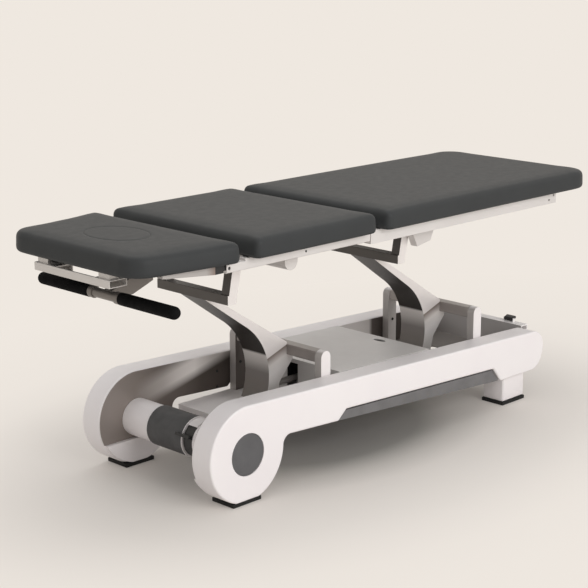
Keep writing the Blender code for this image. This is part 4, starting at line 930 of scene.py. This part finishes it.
def build_foot_lever():
    """Black ring with its finger over the sleeve, under a white collar that is open to the front."""
    low, high = HUB_Y
    bore, outer = RING_RADII
    edge = RING_EDGE
    ring = [(low, bore), (low, outer - edge), (low + edge, outer), (high - edge, outer), (high, outer - edge),
            (high, bore)]
    lever = turned("foot_lever_ring", ring, (LOBE[0], 0, LOBE[1]), (0, 1, 0), black_plastic, 72)
    join(lever, prism("root", spoke(FINGER_ANGLE, *FINGER_ROOT), "Y", *ROOT_Y),
         prism("finger", spoke(FINGER_ANGLE, *FINGER), "Y", *FINGER_Y))
    stand_for(flatten(soften(lever, 0.0010, 2)), "foot_lever")
    outside, inside = [arc(LOBE, radius, *COLLAR_ARC) for radius in COLLAR_RADII]
    shell = outside + inside[::-1]
    collar = prism("hub_collar", shell, "Y", low + 0.0005, high - 0.0007, white)
    add_trim(flatten(collar), "base")


def build_cross_tube():
    """Tube between the lobes with its hub journal, and the sleeve with its four moulded seams."""
    dress("cross_tube", white, 0.0008)
    bore, outer = TUBE_RADIUS + 0.0003, SLEEVE_RADIUS
    low, high = SLEEVE_Y
    profile = [(low, bore), (low, outer - 0.001), (low + 0.001, outer), (high - 0.001, outer),
               (high, outer - 0.001), (high, bore)]
    sleeve = turned("sleeve_skin", profile, (LOBE[0], 0, LOBE[1]), (0, 1, 0), sleeve_rubber, SLEEVE_STEPS)
    for vertex in sleeve.data.vertices:
        spread = Vector((vertex.co.x - LOBE[0], 0, vertex.co.z - LOBE[1]))
        step = round(math.atan2(spread.z, spread.x) / (2 * math.pi) * SLEEVE_STEPS)
        if spread.length > outer - 0.0015 and step % SEAM_EVERY == SEAM_EVERY // 2:
            vertex.co -= spread.normalized() * SEAM_DEPTH
    stand_for(sleeve, "tube_sleeve")
    build_foot_lever()


def build_centre_cover():
    """Centre cover with its front wall, open in the middle for the lift rod."""
    cover = cad_copy("centre_cover", "centre_cover_dressed", centre_white, 0)
    x, y, z = CENTRE_WALL
    for _, side in sides():
        join(cover, box("wall", x, span(side, *y), z))
    soften(cover, 0.0016, 3)
    stand_for(cover, "centre_cover")


def build_base():
    for name, side in sides():
        build_side(name, side)
        dress("rear_foot_" + name, white, 0.0030, 3)
        dress("front_pad_" + name, pad_rubber, 0.0020)
        dress("rear_pad_" + name, pad_rubber, 0.0020)
        dress("foot_bar_" + name, control_grey, 0.0015)
        for place in ("front", "rear"):
            post = "%s_post_%s" % (place, name)
            dress(post, posts[post], 0.0012, 3)
            if name == "far":
                low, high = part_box(post)
                middle = ((low[0] + high[0]) / 2, low[1], BOLT_HEIGHT)
                screw(post + "_bolt", middle, BOLT_RADIUS, "base", "black_plastic")
    dress("base_tray", tray_coat, 0.0010)
    build_centre_cover()
    dress("tail_bracket")
    dress("rear_pedal")
    build_cross_tube()
    for i, z in enumerate(PLATE_SCREW_HEIGHTS):
        place = (PLATE_SCREW_X, PLATE_INNER, z)
        screw("plate_screw_%d" % i, place, PLATE_SCREW_RADIUS, "base", "black_plastic")


# Lift arms


def arm_outline():
    """Side view of the front arm's blade, from the yoke down to the heel and the pivot bar."""
    bar_front, bar_foot = LOWER_PIVOT[0] - PIVOT_BAR / 2, LOWER_PIVOT[1] - PIVOT_BAR / 2
    yoke_rear = YOKE_FRONT + YOKE_DEPTH

    def edge(x):
        return ARM_EDGE_REF[1] + ARM_EDGE_SLOPE * (x - ARM_EDGE_REF[0])

    outline = [(YOKE_FRONT + 0.002, YOKE_BOTTOM - 0.0003)]
    outline += bezier(ARM_BEND, 48)
    outline += list(ARM_HEEL)
    outline += [(ARM_HEEL[-1][0], bar_foot), (bar_front, bar_foot), (bar_front, edge(bar_front))]
    outline += [(yoke_rear + 0.0003, edge(yoke_rear)), (yoke_rear + 0.0003, YOKE_BOTTOM - 0.0003)]
    return outline


def arm_pocket():
    """What is cut out between the cheeks, up to the web."""
    line = [(YOKE_FRONT + 0.002, YOKE_BOTTOM - 0.0003)] + bezier(ARM_BEND, 48)
    skin = list(reversed(folded(line, ARM_SHEET)[len(line):]))
    tail = (skin[-1][0] - 0.02, skin[-1][1] - 0.03)
    return [(-0.62, 0.70), (skin[0][0] - 0.04, skin[0][1] + 0.0257)] + skin + [
        tail, (-0.10, 0.10), (-0.10, 0.70)]


def shifted(points, shift):
    return [(x + shift, z) for x, z in points]


def build_arm(place, shift):
    """Folded sheet blade with a rounded outer fold, its pivot bar, and the yoke."""
    outline = shifted(arm_outline(), shift)
    blade = prism(place + "_blade", outline, "Y", -ARM_HALF, ARM_HALF, arm_steels[place])
    soften(blade, 0.0022, 3, 50)
    inner = ARM_HALF - ARM_SHEET
    cut(blade, prism("pocket", shifted(arm_pocket(), shift), "Y", -inner, inner))
    stand_for(flatten(blade), place + "_arm_blade")
    x, z = LOWER_PIVOT[0] + shift, LOWER_PIVOT[1]
    half = PIVOT_BAR / 2
    bar = box(place + "_pivot_bar", (x - half, x + half), (-PIVOT_BAR_HALF, PIVOT_BAR_HALF),
              (z - half, z + half), bar_steel)
    soften(bar, 0.0020, 3)
    join(bar, cross_rod("journal", (x, z), (-JOURNAL_HALF, JOURNAL_HALF), JOURNAL_RADIUS))
    add_trim(flatten(bar), place + "_arm")
    build_yoke(place, shift)


def build_yoke(place, shift):
    """Crossbar with two leaning ears, bored for the upper shaft."""
    front, rear = YOKE_FRONT + shift, YOKE_FRONT + YOKE_DEPTH + shift
    yoke = box(place + "_yoke", (front, rear), (-YOKE_HALF, YOKE_HALF), (YOKE_BOTTOM, YOKE_TOP), yoke_steel)
    x, z = UPPER_PIVOT[0] + shift, UPPER_PIVOT[1]
    lean = math.degrees(math.atan2(x - (front + rear) / 2, z - YOKE_BOTTOM))
    foot = [(front + 0.001, YOKE_BOTTOM + 0.006), (rear - 0.001, YOKE_BOTTOM + 0.006)]
    cap = arc((x, z), EAR_WIDTH / 2, -lean, 180 - lean, 24)
    for _, side in sides():
        join(yoke, prism("ear", foot + cap, "Y", *span(side, *EAR_Y)))
    cut(yoke, cross_rod("bore", (x, z), (-0.2, 0.2), EAR_BORE))
    stand_for(flatten(soften(yoke, 0.0012, 2)), place + "_arm_yoke")


def build_lift():
    build_arm("front", 0.0)
    build_arm("rear", ARM_PITCH)
    dress("lift_rod", bright_steel, 0.0006)
    dress("lift_motor", black_plastic, 0.0010)


# Top frame and head end


def build_top_frame():
    for name, _ in sides():
        dress("side_rail_" + name, rail_shaded_white, 0.0012, 3)
        dress("main_beam_" + name, rail_shaded_white, 0.0010)
        dress("leg_rail_" + name, rail_shaded_white, 0.0012, 3)
    for member in ("front_cross_member", "rear_cross_member"):
        dress(member, rail_shaded_white, 0.0010)
    for inside in ("front_upper_shaft", "rear_upper_shaft", "leg_cross_bar", "head_cross_bar",
                   "head_spring_cylinder", "head_spring_rod", "leg_spring_cylinder", "leg_spring_rod"):
        dress(inside, None, 0.0005, 1)
    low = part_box("side_rail_near")[0]
    place = (SEAT_SCREW[0], low[1], SEAT_SCREW[1])
    screw("seat_rail_screw", place, SEAT_SCREW_RADIUS, "top_frame", "black_plastic")
    for i, (x, z) in enumerate(LEG_SCREWS):
        screw("rail_screw_%d" % i, (x, LEG_SCREW_Y, z), LEG_SCREW_RADIUS, "leg_section", "satin_steel")


def build_release_lever():
    """Tube with two collars on a broad flat stem."""
    x, z = HANDLE
    half, tube, core, collar, edge = HANDLE_HALF, HANDLE_TUBE, HANDLE_CORE, HANDLE_COLLAR, COLLAR_EDGE
    inner, outer = HANDLE_COLLAR_Y
    right = [(inner, core), (inner, collar - edge), (inner + edge, collar), (outer - edge, collar),
             (outer, collar - edge), (outer, tube), (half, tube), (half, 0)]
    left = [(-along, radius) for along, radius in reversed(right)]
    lever = turned("release_lever_dressed", left + right, (x, 0, z), (0, 1, 0), head_grey, 48)
    px, pz = HANDLE_PIVOT
    stem = [(x, z + 0.0100), (x + 0.0300, z - 0.0100), *STEM_KNEE, (px + 0.0095, pz),
            (px + 0.0040, pz + 0.0095), (px - 0.0100, pz + 0.0075), (x + 0.0500, z + 0.0260)]
    join(lever, prism("stem", stem, "Y", -STEM_HALF, STEM_HALF))
    cut(lever, cross_rod("bore", HANDLE_PIVOT, (-0.05, 0.05), STEM_BORE))
    stand_for(flatten(soften(lever, 0.0010, 2)), "release_lever")


def build_accessory_rail():
    """Flat tube across the head end, open behind its front wall between the two standoff blocks."""
    low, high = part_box("accessory_rail")
    front, half, foot = low[0], high[1], low[2]
    wall, rear = RAIL_WALL, front + RAIL_DEPTH
    rail = box("rail_tube", (front, rear), (-half, half), (foot, RAIL_TOP), aluminium)
    soften(rail, 0.0020, 3)
    bore = box("bore", (front + wall, rear - wall), (-half - 0.01, half + 0.01),
               (foot + wall, RAIL_TOP - wall))
    window = box("window", (front + 0.0050, rear + 0.01), RAIL_WINDOW, (foot - 0.01, RAIL_TOP + 0.01))
    cut(rail, bore, window)
    for _, side in sides():
        join(rail, box("standoff", (front + 0.0080, rear - 0.0010), span(side, *STANDOFF_Y),
                       (RAIL_TOP - wall / 2, high[2])))
    stand_for(flatten(rail), "accessory_rail")


def build_head_end():
    for name, _ in sides():
        dress("head_bar_" + name, bar_paint, 0.0010)
        dress("head_hinge_" + name, black_plastic, 0.0010)
    build_accessory_rail()
    build_release_lever()
    near, far = GRIP_Y
    radius, bore, depth = GRIP_RADIUS, GRIP_BORE, GRIP_Y[1] - GRIP_END
    angles = [math.pi / 2 * i / 10 for i in range(10)]
    dome = [(far - radius * (1 - math.sin(a)), radius * math.cos(a)) for a in angles]
    foot = [(depth, 0), (depth, bore), (near, bore), (near, radius - 0.002), (near + 0.0008, radius - 0.0006),
            (near + 0.002, radius)]
    for name, side in sides():
        profile = foot + dome + [(far, 0)]
        grip = turned("grip_" + name, profile, (HANDLE[0], 0, HANDLE[1]), (0, side, 0), foam, 48)
        stand_for(grip, "handle_grip_" + name)
    place = (*KNOB, KNOB_FOOT)
    stand_for(turned("knob_cap", KNOB_PROFILE, place, (0, 0, 1), black_plastic, 48), "rail_knob")
    insert = turned("knob_insert", INSERT_PROFILE, place, (0, 0, 1), bright_steel, 32)
    add_trim(insert, "rail_knob")


# Floor, light and camera


def rays_seen(owner, *kinds):
    """1 for a ray of any of these kinds, as an output."""
    rays = node(owner, "LightPath")
    seen = rays.outputs[kinds[0]]
    for kind in kinds[1:]:
        seen = node(owner, "Math", {0: seen, 1: rays.outputs[kind]}, operation="MAXIMUM").outputs["Value"]
    return seen


def make_floor():
    """Studio floor, matt: it takes the shadow near the table, is darker towards the middle as painted shade,
    and fades into the pale backdrop from close enough to lighten that shadow as painted light.
    """
    material = surface("studio_floor", "#9a9692", 0.9)
    tree = material.node_tree
    shader_of(material).inputs["Specular IOR Level"].default_value = 0.1
    place = node(material, "Mapping", {"Vector": node(material, "TexCoord").outputs["Object"],
                                       "Scale": (1 / FLOOR_FADE[0], 1 / FLOOR_FADE[1], 0)})
    reach = node(material, "VectorMath", {0: place.outputs["Vector"]}, operation="LENGTH").outputs["Value"]
    feed(material, "Base Color", node(material, "ValToRGB", {"Fac": reach}, FLOOR_SHADE_STOPS).outputs["Color"])
    fade = node(material, "ValToRGB", {"Fac": reach}, FADE_STOPS).outputs["Color"]
    kinds = rays_seen(material, "Is Camera Ray", "Is Glossy Ray", "Is Transmission Ray")
    seen = node(material, "Math", {0: fade, 1: kinds}, operation="MULTIPLY")
    pale = node(material, "Emission", {"Color": srgb(BACKDROP)})
    mix = node(material, "MixShader", {"Fac": seen.outputs["Value"], 1: shader_of(material).outputs["BSDF"],
                                       2: pale.outputs["Emission"]})
    tree.links.new(mix.outputs["Shader"], tree.nodes["Material Output"].inputs["Surface"])
    return material


def build_stage():
    reach = (-FLOOR_HALF, FLOOR_HALF)
    floor = box("floor", reach, reach, (-FLOOR_DEPTH, 0.0), make_floor())

    world = bpy.data.worlds.new("studio")
    bpy.context.scene.world = world
    world.use_nodes = True
    world.node_tree.nodes.clear()
    seen = node(world, "Background", {"Color": srgb(BACKDROP)})
    fill = node(world, "Background", {"Color": srgb(FILL_COLOUR), "Strength": FILL_STRENGTH})
    kinds = rays_seen(world, "Is Camera Ray", "Is Glossy Ray", "Is Transmission Ray")
    mix = node(world, "MixShader", {"Fac": kinds, 1: fill.outputs["Background"],
                                    2: seen.outputs["Background"]})
    node(world, "OutputWorld", {"Surface": mix.outputs["Shader"]})


def add_area(name, place, target, size, power):
    data = bpy.data.lights.new(name, "AREA")
    data.shape = "RECTANGLE"
    data.size, data.size_y = size
    data.energy = power
    lamp = bpy.data.objects.new(name, data)
    lamp.location = place
    lamp.rotation_euler = (Vector(target) - Vector(place)).to_track_quat("-Z", "Y").to_euler()
    bpy.context.scene.collection.objects.link(lamp)


def build_light():
    add_area("key", KEY_PLACE, LIGHT_TARGET, KEY_SIZE, KEY_POWER)
    add_area("top", TOP_PLACE, LIGHT_TARGET, TOP_SIZE, TOP_POWER)


def build_camera():
    data = bpy.data.cameras.new("camera")
    data.lens, data.sensor_width = CAMERA_LENS, SENSOR
    data.clip_end = 200
    camera = bpy.data.objects.new("camera", data)
    camera.location = CAMERA_PLACE
    way = Vector(CAMERA_TARGET) - Vector(CAMERA_PLACE)
    camera.rotation_euler = way.to_track_quat("-Z", "Y").to_euler()
    bpy.context.scene.collection.objects.link(camera)
    bpy.context.scene.camera = camera
    bpy.context.scene.view_settings.view_transform = "Standard"


build_camera()
build_stage()
build_light()
build_pads()
build_base()
build_lift()
build_top_frame()
build_head_end()
